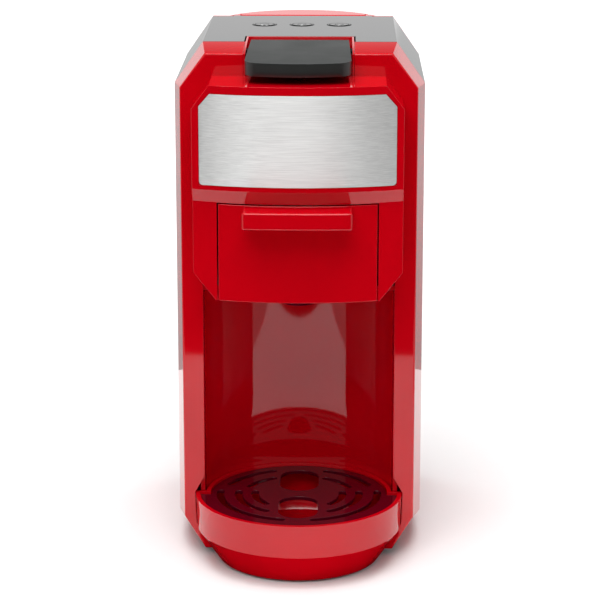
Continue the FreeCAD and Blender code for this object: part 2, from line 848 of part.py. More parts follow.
def head_block(label, inset, step):
    """The head's outer form, or with an inset the room inside it.

    One turned cut shapes its front: a bowed lower zone, a slanted step and a bowed upper zone.
    """
    piece = Piece(label)
    outline = octagon(S.head_half_width, HEAD_TOP, S.head_shoulder, S.head_shoulder_drop,
                      S.head_base, S.head_foot_inset, S.head_foot_rise, inset)
    piece.pad("XZ", -S.head_blank, 0, outline)
    upper = S.head_bow - inset
    lower = upper - S.head_step
    far = S.head_bow + S.head_reach
    low, high = S.head_base - OVER, HEAD_TOP + OVER
    piece.turn(0, S.head_bow - S.head_reach, [
        (lower, low), (lower, step), (upper, step + S.head_step_rise), (upper, high), (far, high), (far, low)],
        cut=True)
    return piece


def head_shell():
    """The red head moulding with its fascia recess, drawer mouth and open back."""
    outer = head_block("head_outer", 0, STEP_BASE)
    inner = head_block("head_room", S.head_wall, STEP_BASE + S.head_wall / 2)
    gap = S.drawer_half_width + S.drawer_gap
    mouth_top = DRAWER_TOP + S.drawer_gap
    mouth = block("drawer_mouth", (-gap, -S.head_blank, S.head_base - OVER), (gap, OVER, mouth_top))
    # the cheeks keep a wall beside the drawer
    deep, high = -S.head_reach, mouth_top + S.head_wall
    cheeks = boolean(
        "Part::MultiFuse", "cheeks",
        block("cheek_left", (-gap - S.head_wall, deep, S.head_base), (-gap, 0, high)),
        block("cheek_right", (gap, deep, S.head_base), (gap + S.head_wall, 0, high)))
    walls = boolean("Part::MultiCommon", "cheek_walls", cheeks, outer.body)
    recess = fascia_band("fascia_recess", S.seam / 2, S.fascia_thick - S.fascia_proud, as_size(2))
    hollow = boolean("Part::Cut", "head_hollow", outer.body, inner.body)
    filled = boolean("Part::MultiFuse", "head_filled", hollow, walls)
    return finish(boolean("Part::Cut", "head_shell", filled, mouth, recess.body))


def drawer_face(inset=0):
    """How far the drawer's front reaches and its bow, both moved in by a wall."""
    return S.head_reach - S.head_step - inset, S.head_bow - S.head_step - inset


def fascia_band(label, grow, sunk, proud):
    """A bowed plate on the head's face: wider by a gap, with its two faces sunk and proud."""
    piece = Piece(label)
    half = S.fascia_half_width + grow
    top = HEAD_TOP - S.fascia_margin + grow
    low = STEP_BASE + S.head_step_rise + S.fascia_lift - grow
    outer, inner = S.head_bow + proud, S.head_bow - sunk
    front = bow(S.head_reach + proud, outer, half)
    back = bow(S.head_reach - sunk, inner, half)
    piece.pad("XY", low, top, [(-half, front), (half, front, outer), (half, back), (-half, back, -inner)])
    wide, tall = S.fascia_corner_wide, S.fascia_corner_tall
    for side in (1, -1):
        corner = [(side * (half - wide), top), (side * (half + wide), top),
                  (side * (half + wide), top - tall * 2), (side * half, top - tall)]
        piece.cut("XZ", -S.head_blank, 0, corner)
    return piece


def fascia():
    """The brushed steel plate."""
    piece = fascia_band("steel_fascia", 0, S.fascia_thick - S.fascia_proud, S.fascia_proud)
    low = STEP_BASE + S.head_step_rise + S.fascia_lift
    half = S.fascia_half_width
    piece.fillet(S.head_step / 2, lambda line: any(
        lies(line, z=low, x=side * half) for side in (1, -1)))
    return piece.done()


# ---------------------------------------------------------------- pod drawer

def drawer_front():
    """The bowed red panel that closes the drawer mouth."""
    piece = Piece("drawer_front")
    half = S.drawer_half_width
    reach, radius = drawer_face()
    inner_reach, inner_radius = drawer_face(S.drawer_wall)
    front, back = bow(reach, radius, half), bow(inner_reach, inner_radius, half)
    piece.pad("XY", S.head_base, DRAWER_TOP,
              [(-half, front), (half, front, radius), (half, back), (-half, back, -inner_radius)])
    return piece.done()


def drawer_handle():
    """The bar across the top of the drawer."""
    piece = Piece("drawer_handle")
    half = S.handle_half_width
    reach, radius = drawer_face()
    front = bow(reach + S.handle_reach, S.handle_bow, half)
    back = bow(reach, radius, half)
    top = DRAWER_TOP - S.handle_drop
    piece.pad("XY", top - S.handle_height, top,
              [(-half, front), (half, front, S.handle_bow), (half, back), (-half, back, -radius)])
    piece.fillet(S.handle_corner, lambda line: any(
        lies(line, x=side * half, y=front) for side in (1, -1)))
    piece.fillet(S.handle_round, lambda line: max(v.Y for v in line.Vertexes) < back.value - 0.5
                 and (lies(line, z=top) or lies(line, z=top - S.handle_height)))
    return piece.done()


def drawer_carrier():
    """The sliding frame behind the drawer front, with a deck for the pod holder."""
    piece = Piece("drawer_carrier")
    half, wall = S.drawer_half_width - S.carrier_inset, S.drawer_wall
    reach, radius = drawer_face(wall)
    front = bow(reach, radius, half)
    floor = S.head_base + S.clearance
    deck = RIM_TOP - S.holder_rim
    outline = [(-half, front), (half, front, radius), (half, S.carrier_back), (-half, S.carrier_back)]
    piece.pad("XY", floor, deck, outline)
    room_front, room_half, room_back = front + wall, half - wall, S.carrier_back - wall
    piece.cut("XY", floor + wall, deck - S.deck_thick, box(-room_half, room_front, room_half, room_back))
    holder = S.pod_radius + S.holder_wall
    piece.cut("XY", deck - S.deck_thick, deck, circle(0, S.bay_centre, holder + S.seam))
    piece.cut("XY", floor, floor + wall, circle(0, S.bay_centre, S.spout_radius))
    piece.done()
    rail, gap, rail_back = S.drawer_wall, S.clearance, S.carrier_back + S.rail_over
    inner, outer, rail_top = half + gap, half + gap + rail, S.head_base + S.rail_height
    rails = [block(f"rail_{name}", (low, S.body_wall, S.head_base), (high, rail_back, rail_top))
             for name, low, high in (("left", -outer, -inner), ("right", inner, outer))]
    group("drawer_rails", rails)


# radius of each ring of holes, and how many holes it has
BASKET_RINGS = ((6.0, 6), (12.0, 12), (17.5, 18))
SCREEN_RINGS = ((7.0, 6), (13.0, 12), (19.0, 18))


def sieve(piece, low, high, rings, hole):
    """Drill rings of small holes about the middle of the cup bay."""
    for radius, count in rings:
        spots = [polar(as_size(radius), index * 360.0 / count) for index in range(count)]
        piece.cut("XY", low, high, *[circle(x, y, hole) for x, y in spots], axis=(0, S.bay_centre))


def pod_holder():
    """The cup that takes the pod, its steel basket and the spout under it."""
    centre, wall = S.bay_centre, S.holder_wall
    top, taper = S.pod_radius, S.pod_taper
    floor = RIM_TOP - S.pod_depth
    flange = RIM_TOP - S.holder_rim
    hole = S.spout_bore
    holder = Piece("pod_holder")
    holder.turn(0, centre, [
        (hole, floor - wall), (top - taper + wall, floor - wall), (top + wall, flange),
        (top + wall + S.holder_flange, flange), (top + wall + S.holder_flange, RIM_TOP),
        (top, RIM_TOP), (top - taper, floor), (hole, floor)])
    holder.done()
    basket = Piece("pod_basket")
    gap, sheet_wall = S.seam, S.basket_wall
    low, high = floor + S.clearance, RIM_TOP - S.basket_drop
    basket.turn(0, centre, [
        (0, low), (top - taper - gap, low), (top - gap, high), (top - gap - sheet_wall, high),
        (top - taper - gap - sheet_wall, low + sheet_wall), (0, low + sheet_wall)])
    sieve(basket, low, low + sheet_wall, BASKET_RINGS, S.basket_hole)
    basket.done()
    spout = Piece("outlet_spout")
    foot = S.head_base - S.spout_reach
    spout.turn(0, centre, [
        (hole, foot), (S.spout_radius - S.spout_nose, foot), (S.spout_radius, foot + S.spout_nose_height),
        (S.spout_radius, floor - wall), (hole, floor - wall)])
    spout.done()


# ---------------------------------------------------------------- lever and plunger

def lever_under(y):
    """Height of the lever's underside."""
    return LEVER_NOSE - S.lever_thick + LEVER_SLOPE * (y + S.lever_front)


def lever_well():
    """The thin-walled red tub that the lever lies in."""
    piece = Piece("lever_well")
    inner = S.lever_half_width + S.well_clearance
    outer = inner + S.well_wall
    back = S.well_back
    piece.pad("XY", WELL_FLOOR, S.body_height, box(-outer, 0, outer, back + S.well_wall))
    piece.cut("XY", WELL_FLOOR + S.well_wall, S.body_height, box(-inner, 0, inner, back))
    piece.cut("YZ", -outer, outer, [
        (0, FRAME_TOP - S.clearance), (S.frame_depth, S.body_height), (S.frame_depth, S.body_height + OVER),
        (0, S.body_height + OVER)])
    piece.cut("XY", WELL_FLOOR, WELL_FLOOR + S.well_wall,
              circle(0, S.push_rod_back, S.push_rod_radius + S.clearance))
    piece.cut("YZ", -outer, outer, circle(S.lever_pivot_back, PIVOT_Z, S.pin_radius))
    return piece.done()


def lever():
    """The press lever: a bowed paddle with a hinge barrel, and its pin."""
    half = S.lever_half_width
    nose, pivot = -S.lever_front, S.lever_pivot_back
    back = pivot + S.lever_barrel
    back_half = half - S.lever_narrowing
    paddle = Piece("lever_side_view")
    paddle.pad("YZ", -half, half, [
        (nose, lever_under(nose)), (pivot - S.lever_barrel, lever_under(pivot - S.lever_barrel)),
        (pivot, PIVOT_Z), (pivot, PIVOT_Z + S.lever_barrel), (pivot - S.lever_barrel, LEVER_TAIL),
        (nose, LEVER_NOSE)])
    barrel = rod("lever_barrel", "X", (-back_half, pivot, PIVOT_Z), S.lever_barrel, back_half * 2)
    solid = boolean("Part::MultiFuse", "lever_solid", paddle.body, barrel)
    plan = Piece("lever_plan")
    side = bow(S.lever_front, S.lever_bow, half)
    plan.pad("XY", WELL_FLOOR, S.body_height + S.lever_thick,
             [(-half, side), (half, side, S.lever_bow), (back_half, back), (-back_half, back)])
    plan.fillet(S.lever_corner, lambda line: lies(line, y=side))
    shaped = boolean("Part::MultiCommon", "lever_shaped", solid, plan.body)
    bore = rod("lever_bore", "X", (-half, pivot, PIVOT_Z), S.pin_radius + S.running_fit, half * 2)
    finish(boolean("Part::Cut", "press_lever", shaped, bore))
    pin_half = half + S.well_clearance + S.well_wall
    finish(rod("lever_pin", "X", (-pin_half, pivot + SHIFT, PIVOT_Z), S.pin_radius, pin_half * 2), shift=False)


def plunger():
    """The pressing head over the pod: body with arm and push rod, gasket, screen and spring."""
    centre = S.bay_centre
    face, top = GASKET_LOW + S.plunger_lip, GASKET_LOW + S.gasket_height + S.plunger_thick
    seat = GASKET_LOW + S.gasket_height
    radius, rim = S.plunger_radius, S.plunger_radius + S.gasket_width
    arm_top = ARM_LOW + S.arm_height
    piece = Piece("brew_plunger")
    piece.turn(0, centre, [
        (0, face), (radius, face), (radius, seat), (rim, seat), (rim, seat + S.plunger_flange),
        (S.stem_radius + S.plunger_shoulder, top),
        (S.stem_radius, top), (S.stem_radius, arm_top), (0, arm_top)])
    half = S.stem_radius - S.arm_margin
    rod_y = S.push_rod_back
    piece.pad("XY", ARM_LOW, arm_top, box(-half, centre, half, rod_y + S.push_rod_radius + S.arm_margin))
    piece.pad("XY", ARM_LOW, lever_under(rod_y) - S.clearance, circle(0, rod_y, S.push_rod_radius))
    piece.done()
    gasket = Piece("plunger_gasket")
    gasket.turn(0, centre, [(radius, GASKET_LOW), (rim, GASKET_LOW), (rim, seat), (radius, seat)])
    gasket.done()
    screen = Piece("shower_screen")
    screen.pad("XY", face - S.screen_thick, face, circle(0, centre, radius - S.screen_inset))
    sieve(screen, face - S.screen_thick, face, SCREEN_RINGS, S.screen_hole)
    screen.done()
    guide = Piece("plunger_guide")
    span = S.drawer_half_width + S.drawer_gap
    guide.pad("XY", GUIDE_LOW, GUIDE_TOP, box(-span, -S.guide_front, span, S.guide_back))
    guide.cut("XY", GUIDE_LOW, GUIDE_TOP, circle(0, centre, S.stem_radius + S.running_fit))
    guide.done()
    spring()


def spring():
    """The return spring round the plunger's stem, as a close stack of wire turns."""
    wire = (ARM_LOW - GUIDE_TOP) / (S.spring_turns * 2)
    turns = []
    for number in range(int(S.spring_turns.value)):
        turn = doc.addObject("Part::Torus", f"spring_turn_{number + 1}")
        bind(turn, "Radius1", S.stem_radius + S.clearance + wire)
        bind(turn, "Radius2", wire)
        bind(turn, "Placement.Base.y", S.bay_centre)
        bind(turn, "Placement.Base.z", GUIDE_TOP + wire * (2 * number + 1))
        turns.append(turn)
    group("plunger_spring", turns)


# ---------------------------------------------------------------- drip tray

def drip_tray():
    """The tray: a wide front half, a narrower back half inside the bay, and a step between."""
    piece = Piece("drip_tray")
    centre, wall = S.bay_centre, S.tray_wall
    rim, seat = S.tray_rim, S.tray_rim - S.grille_drop - S.grille_thick
    wide, narrow, low, back = S.tray_radius, S.bay_radius - S.tray_bay_gap, S.tray_base, S.tray_back_base
    ledge, ease, slope = S.tray_ledge, S.tray_ease, S.tray_back_chamfer
    front_loop = [
        (0, low), (TRAY_FOOT, low), (wide - S.tray_draft, S.tray_band), (wide, rim),
        (wide - wall, rim), (wide - wall, seat), (wide - wall - ledge, seat), (wide - wall - ledge, S.tray_band + ease),
        (TRAY_FOOT - ease, low + wall), (0, low + wall)]
    inner = narrow - wall
    back_loop = [
        (0, back), (narrow - slope, back), (narrow, back + slope), (narrow, rim), (inner, rim), (inner, seat),
        (inner - ledge, seat), (inner - ledge, back + slope + ease), (inner - slope, back + wall),
        (0, back + wall)]
    piece.turn(0, centre, front_loop, angle=180.0, reverse=True)
    piece.turn(0, centre, back_loop, angle=180.0)
    web = [(wide, rim), (-wide, rim), (-wide + S.tray_draft, S.tray_band), (-TRAY_FOOT, low),
           (TRAY_FOOT, low), (wide - S.tray_draft, S.tray_band)]
    piece.pad("XZ", centre, centre + S.tray_step, web)
    piece.cut("XZ", centre, centre + S.tray_step, [
        (inner, seat), (inner, rim + OVER), (-inner, rim + OVER), (-inner, seat), (-inner + ledge, seat),
        (-inner + ledge, back + slope + ease), (-inner + slope, back + wall), (inner - slope, back + wall),
        (inner - ledge, back + slope + ease), (inner - ledge, seat)])
    return piece.done()


# radius of each ring slot, and the angles at which its left half starts and ends
FRONT_SLOTS = ((43.0, 175.0, 259.0), (33.0, 175.0, 239.0), (24.0, 173.0, 224.0))
BACK_SLOTS = ((41.0, 111.0, 158.0), (29.5, 119.0, 157.0))


def drip_grille():
    """The slotted plate that the cup stands on."""
    piece = Piece("drip_grille")
    gap = S.clearance
    front = S.tray_radius - S.tray_wall - gap
    back = S.bay_radius - S.tray_bay_gap - S.tray_wall - gap
    high = S.tray_rim - S.grille_drop
    low = high - S.grille_thick
    # the wide half ends in front of the frame's face, so that the grille lifts straight out
    step = -S.bay_centre - gap
    side = root(front * front - step * step)
    half = S.grille_slot / 2
    piece.pad("XY", low, high, [
        (back, step), (back, 0), (0, back, back), (-back, 0, back), (-back, step),
        (-side, step), (0, -front, front), (side, step, front)], axis=(0, S.bay_centre))
    for radius, start, end in FRONT_SLOTS + BACK_SLOTS:
        for low_angle, high_angle in ((start, end), (180.0 - end, 180.0 - start)):
            piece.cut("XY", low, high, ring_slot(as_size(radius), half, low_angle, high_angle),
                      axis=(0, S.bay_centre))
    wide = S.grille_hole_half_width
    end, bar = S.grille_hole_end, S.grille_bar
    piece.cut("XY", low, high, slot(as_size(0), -end, -bar, wide), slot(as_size(0), bar, end, wide),
              axis=(0, S.bay_centre))
    return piece.done()


# ---------------------------------------------------------------- controls

def controls():
    """Three sprung buttons over a control board on its bracket."""
    back = S.button_back
    under = S.body_height - S.body_wall
    collar_top = under - S.clearance
    collar_low = collar_top - S.collar_thick
    collar, button_top = S.button_radius + S.collar_width, S.body_height + S.button_proud
    for name, place in (("left", -1), ("middle", 0), ("right", 1)):
        button = Piece(f"button_{name}")
        button.turn(S.button_pitch * place, back, [
            (0, collar_low), (collar, collar_low), (collar, collar_top), (S.button_radius, collar_top),
            (S.button_radius, S.body_height), (S.button_radius - S.button_bevel, button_top), (0, button_top)])
        button.done()
    half, low = S.board_half_width, S.body_height - S.board_drop
    board_top = low + S.board_thick
    reach = S.board_half_depth
    finish(block("control_board", (-half, back - reach + SHIFT, low), (half, back + reach + SHIFT, board_top)),
           shift=False)
    stem_top = collar_low - S.button_travel - S.clearance
    switches = []
    for name, place in (("left", -1), ("middle", 0), ("right", 1)):
        x = S.button_pitch * place
        case = block(f"switch_case_{name}", (x - S.switch_half, back - S.switch_half, board_top),
                     (x + S.switch_half, back + S.switch_half, board_top + S.switch_height))
        stem = rod(f"switch_stem_{name}", "Z", (x, back, board_top), S.switch_stem, stem_top - board_top)
        switches.append(boolean("Part::MultiFuse", f"switch_{name}", case, stem))
    group("button_switches", switches)
    bracket = Piece("board_bracket")
    wall = S.bracket_wall
    outer = half + S.clearance + wall
    bracket.pad("XZ", back - reach - wall / 2, back + reach + wall / 2, [
        (-outer, low - wall), (outer, low - wall), (outer, under), (outer - wall, under), (outer - wall, low),
        (-outer + wall, low), (-outer + wall, under), (-outer, under)])
    bracket.done()


# ---------------------------------------------------------------- water and heat

def water_tank():
    """The open-topped tank with its outlet filter."""
    piece = Piece("water_tank")
    half, wall = S.tank_half_width, S.tank_wall
    bend = S.tank_bow - S.body_wall - S.clearance

    def plan(inset):
        radius, wide = bend - inset, half - inset
        side = COLUMN_CENTRE + root(radius * radius - wide * wide)
        return [(wide, S.tank_front + inset), (wide, side), (0, COLUMN_CENTRE + radius, radius),
                (-wide, side, radius), (-wide, S.tank_front + inset)]

    piece.pad("XY", S.tank_floor, TANK_TOP, plan(as_size(0)))
    piece.cut("XY", S.tank_floor + wall, TANK_TOP, plan(wall))
    piece.cut("XZ", S.tank_front, S.tank_front + wall,
              circle(S.hose_side, S.tank_floor + S.hose_rise, S.hose_bore))
    piece.done()
    strainer = Piece("tank_strainer")
    bore, outer = S.strainer_bore, S.strainer_radius
    foot, top = S.tank_floor + wall, S.tank_floor + S.strainer_top
    strainer.turn(S.hose_side, S.tank_front + wall + S.strainer_inset, [
        (bore, foot), (outer, foot), (outer, top), (0, top), (0, top - S.strainer_cap),
        (bore, top - S.strainer_cap)])
    strainer.done()


def heater():
    """The boil-up heater: cast block, tubular element, thermostat, fuse and mounting feet."""
    half, low = S.heater_half_width, S.heater_floor
    front, back = S.heater_front, S.heater_front + S.heater_depth
    high = low + S.heater_height
    body = Piece("heater_block")
    body.pad("XY", low, high, box(-half, front, half, back))
    tall = S.heater_height.value / 2
    body.fillet(S.heater_round, lambda line: abs(line.Vertexes[0].Z - line.Vertexes[-1].Z) > tall)
    outlet_x, outlet_y = -half + S.outlet_inset, front + S.outlet_back
    body.cut("XY", low + S.heater_skin, high, circle(outlet_x, outlet_y, S.hose_bore))
    body.done()
    bend = S.heater_half_width / 2
    height = high + S.element_radius
    middle = front + S.heater_depth / 2
    curve = doc.addObject("Part::Torus", "element_bend")
    bind(curve, "Radius1", bend)
    bind(curve, "Radius2", S.element_radius)
    curve.Angle3 = 180
    bind(curve, "Placement.Base.y", middle)
    bind(curve, "Placement.Base.z", height)
    legs = [rod(f"element_leg_{name}", "Y", (bend * side, front - S.element_end, height), S.element_radius,
                middle - front + S.element_end) for name, side in (("left", -1), ("right", 1))]
    finish(boolean("Part::MultiFuse", "heater_element", curve, *legs))
    thermostat = Piece("thermostat")
    disc, shoulder = S.thermostat_radius, high + S.thermostat_height
    dome = shoulder + S.thermostat_dome
    thermostat.turn(0, middle, [
        (0, high), (disc, high), (disc, shoulder), (disc - S.thermostat_step, dome), (0, dome)])
    thermostat.done()
    fuse_at = (-S.fuse_length / 2, back + S.fuse_radius + SHIFT, low + S.fuse_height)
    finish(rod("thermal_fuse", "X", fuse_at, S.fuse_radius, S.fuse_length), shift=False)
    wide, inset = S.leg_half, S.leg_inset
    spots = [(side * (half - inset), y) for side in (-1, 1) for y in (front + inset, back - inset)]
    legs = [block(f"heater_leg_{number}", (x - wide, y - wide, BASE_TOP), (x + wide, y + wide, low))
            for number, (x, y) in enumerate(spots, start=1)]
    group("heater_feet", legs)


def plumbing():
    """Hoses from the tank through a check valve to the heater, and up to the plunger guide."""
    back = S.heater_front + S.heater_depth
    level, x = S.tank_floor + S.hose_rise, S.hose_side
    valve_front, valve_back = back + S.valve_front_gap, S.tank_front - S.valve_back_gap
    pieces_of_hose = []
    for name, start, end in (("heater", back, valve_front), ("tank", valve_back, S.tank_front)):
        outer = rod(f"hose_{name}", "Y", (x, start, level), S.hose_radius, end - start)
        bore = rod(f"hose_{name}_bore", "Y", (x, start - OVER, level), S.hose_bore, end - start + OVER * 2)
        pieces_of_hose.append(boolean("Part::Cut", f"cold_hose_{name}", outer, bore))
    group("cold_hoses", pieces_of_hose)
    valve = rod("valve_case", "Y", (x, valve_front, level), S.valve_radius, valve_back - valve_front)
    bore = rod("valve_bore", "Y", (x, valve_front - OVER, level), S.hose_bore,
               valve_back - valve_front + OVER * 2)
    finish(boolean("Part::Cut", "check_valve", valve, bore))
    up, turn = S.heater_front + S.outlet_back, S.hose_bend
    high = (GUIDE_LOW + GUIDE_TOP) / 2
    start = S.heater_floor + S.heater_height
    pipe("hot_hose", -S.heater_half_width + S.outlet_inset,
         [(up, start), (up, high - turn), (up - turn, high, turn), (S.guide_back, high)],
         S.hose_radius, S.hose_bore)


def wiring():
    """The cord gland, the terminal block on the floor and the loom up to the control board."""
    gland = Piece("cord_gland")
    flange = S.gland_radius + S.gland_flange
    x, z = -S.gland_side, S.gland_height
    inside, outside = S.body_depth - S.gland_half_length, S.body_depth + S.gland_half_length
    gland.pad("XZ", inside, outside, circle(x, z, S.gland_radius))
    gland.pad("XZ", S.body_depth, S.body_depth + S.gland_flange_thick, circle(x, z, flange))
    gland.cut("XZ", inside, outside, circle(x, z, S.gland_bore))
    gland.done()
    place = S.button_back
    block_x = S.board_half_width
    top = BASE_TOP + S.terminal_height
    reach = S.terminal_half_depth
    finish(block("terminal_block", (-block_x - S.terminal_width, place - reach + SHIFT, BASE_TOP),
                 (-block_x, place + reach + SHIFT, top)), shift=False)
    board = S.body_height - S.board_drop - S.bracket_wall
    finish(rod("wiring_loom", "Z", (-block_x - S.loom_side, place + SHIFT, top), S.loom_radius, board - top),
           shift=False)


# ---------------------------------------------------------------- assembly

front_frame()
side_panel("left_side_panel", -1)
side_panel("right_side_panel", 1)
top_cover()
rear_shell()
base_parts()
cup_bay()
head_shell()
fascia()
drawer_front()
drawer_handle()
drawer_carrier()
pod_holder()
lever_well()
lever()
plunger()
drip_tray()
drip_grille()
controls()
water_tank()
tank_lid()
heater()
plumbing()
wiring()
doc.recompute()


def check(items):
    """Stop if any object failed, any cut missed its solid or any sub-part isn't one sound shape."""
    for item in doc.Objects:
        state = " ".join(item.State)
        if "Invalid" in state or "Error" in state:
            parent = item.getParentGeoFeatureGroup()
            raise RuntimeError(f"{item.Label} of {parent.Label if parent else 'the document'}: {state}")
        if item.TypeId in ("PartDesign::Pocket", "PartDesign::Groove", "PartDesign::SubtractiveLoft"):
            if item.Shape.Volume > item.BaseFeature.Shape.Volume - 1e-3:
                raise RuntimeError(f"{item.Label} of {item.getParentGeoFeatureGroup().Label} cuts nothing")
    for item in items:
        if item.Shape.isNull() or not item.Shape.isValid() or not item.Shape.Solids:
            raise RuntimeError(f"{item.Label}: unsound shape")


check(pieces)
os.makedirs("parts", exist_ok=True)
for item in pieces:
    item.Shape.exportStep(os.path.join("parts", f"{item.Label}.step"))
    extent = item.Shape.BoundBox
    print(f"{item.Label:20s} {len(item.Shape.Solids)} solid(s) {item.Shape.Volume:10.0f} mm3 "
          f"x {extent.XMin:7.2f} {extent.XMax:7.2f} y {extent.YMin:7.2f} {extent.YMax:7.2f} "
          f"z {extent.ZMin:7.2f} {extent.ZMax:7.2f}")
print(len(pieces), "sub-parts")
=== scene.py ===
import logging
import math
from dataclasses import dataclass
from enum import Enum

import bmesh
import bpy
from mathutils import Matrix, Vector


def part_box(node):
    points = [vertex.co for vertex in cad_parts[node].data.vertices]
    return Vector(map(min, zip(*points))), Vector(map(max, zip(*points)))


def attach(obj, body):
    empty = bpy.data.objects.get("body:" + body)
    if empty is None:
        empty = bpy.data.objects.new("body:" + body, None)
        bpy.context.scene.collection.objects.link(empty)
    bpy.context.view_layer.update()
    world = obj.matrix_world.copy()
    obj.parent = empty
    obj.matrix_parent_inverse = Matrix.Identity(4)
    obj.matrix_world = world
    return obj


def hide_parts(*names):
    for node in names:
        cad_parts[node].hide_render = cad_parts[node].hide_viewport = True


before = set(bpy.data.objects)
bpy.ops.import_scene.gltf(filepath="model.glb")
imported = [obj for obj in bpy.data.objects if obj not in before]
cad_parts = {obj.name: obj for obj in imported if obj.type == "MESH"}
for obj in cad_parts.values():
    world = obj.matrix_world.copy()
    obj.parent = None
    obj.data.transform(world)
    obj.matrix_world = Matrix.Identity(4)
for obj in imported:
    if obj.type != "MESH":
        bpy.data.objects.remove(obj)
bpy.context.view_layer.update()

MM = 0.001
HOUSING = "housing"

log = logging.getLogger("pod_coffee_machine")


# ------------------------------------------------------------------ colours and nodes

def linear(hex_colour: str) -> tuple[float, float, float, float]:
    """Turn an sRGB hex colour into the linear colour that shaders use.

    Args:
        hex_colour: six hex digits, with or without a leading #.

    Returns:
        Linear red, green, blue and an alpha of 1.
    """
    digits = hex_colour.lstrip("#")
    channels = [int(digits[start:start + 2], 16) / 255.0 for start in (0, 2, 4)]
    low = [value / 12.92 if value <= 0.04045 else ((value + 0.055) / 1.055) ** 2.4 for value in channels]
    return low[0], low[1], low[2], 1.0


def add_node(tree: bpy.types.NodeTree, kind: str, settings: dict | None = None,
             inputs: dict | None = None) -> bpy.types.Node:
    """Add one node with its settings, its socket values and its links.

    Args:
        tree: the node tree that gets the node.
        kind: Blender's name of the node type.
        settings: attributes of the node.
        inputs: socket name or number to a value, or to an output socket to link from.

    Returns:
        The new node.
    """
    node = tree.nodes.new(kind)
    for name, value in (settings or {}).items():
        setattr(node, name, value)
    for name, value in (inputs or {}).items():
        if isinstance(value, bpy.types.NodeSocket):
            tree.links.new(value, node.inputs[name])
        else:
            node.inputs[name].default_value = value
    return node


def per_metre(size_mm: float) -> float:
    """Noise scale whose features are about a given size in millimetres."""
    return 1.0 / (size_mm * MM)


# ------------------------------------------------------------------ finishes

@dataclass(frozen=True)
class Finish:
    """What a surface is made of and how it was made.

    The base class gives a plain dielectric or metal with a fine surface relief; the classes
    below add what is special to their material.
    """

    name: str
    colour: str
    roughness: float
    metallic: float = 0.0
    ior: float | None = None
    relief_mm: float = 0.8
    relief_depth_mm: float = 0.004
    patch_mm: float = 22.0
    patch: float = 0.03

    def shader(self, tree: bpy.types.NodeTree) -> bpy.types.Node:
        """Add the Principled shader with the values that are the same all over."""
        values = {"Base Color": linear(self.colour), "Metallic": self.metallic, "Roughness": self.roughness}
        if self.ior is not None:
            values["IOR"] = self.ior
        return add_node(tree, "ShaderNodeBsdfPrincipled", inputs=values)

    def detail(self, tree: bpy.types.NodeTree, place: bpy.types.NodeSocket, shader: bpy.types.Node) -> None:
        """Add uneven polish and a fine relief.

        Args:
            tree: the material's nodes.
            place: object coordinates in metres.
            shader: the Principled shader.
        """
        cloud = add_node(tree, "ShaderNodeTexNoise", inputs={
            "Vector": place, "Scale": per_metre(self.patch_mm), "Detail": 4.0, "Roughness": 0.6})
        spread = add_node(tree, "ShaderNodeMapRange", inputs={
            "Value": cloud.outputs["Fac"], "From Min": 0.3, "From Max": 0.7,
            "To Min": max(self.roughness - self.patch, 0.01), "To Max": self.roughness + self.patch})
        tree.links.new(spread.outputs["Result"], shader.inputs["Roughness"])
        grain = add_node(tree, "ShaderNodeTexNoise", inputs={
            "Vector": place, "Scale": per_metre(self.relief_mm), "Detail": 2.0})
        bump = add_node(tree, "ShaderNodeBump", inputs={
            "Height": grain.outputs["Fac"], "Strength": 0.5, "Distance": self.relief_depth_mm * MM})
        tree.links.new(bump.outputs["Normal"], shader.inputs["Normal"])

    def build(self) -> bpy.types.Material:
        """Make the material.

        Returns:
            A material named for the finish.
        """
        material = bpy.data.materials.new(self.name)
        material.use_nodes = True
        tree = material.node_tree
        tree.nodes.clear()
        place = add_node(tree, "ShaderNodeTexCoord")
        shader = self.shader(tree)
        self.detail(tree, place.outputs["Object"], shader)
        add_node(tree, "ShaderNodeOutputMaterial", inputs={"Surface": shader.outputs["BSDF"]})
        material.diffuse_color = linear(self.colour)
        return material


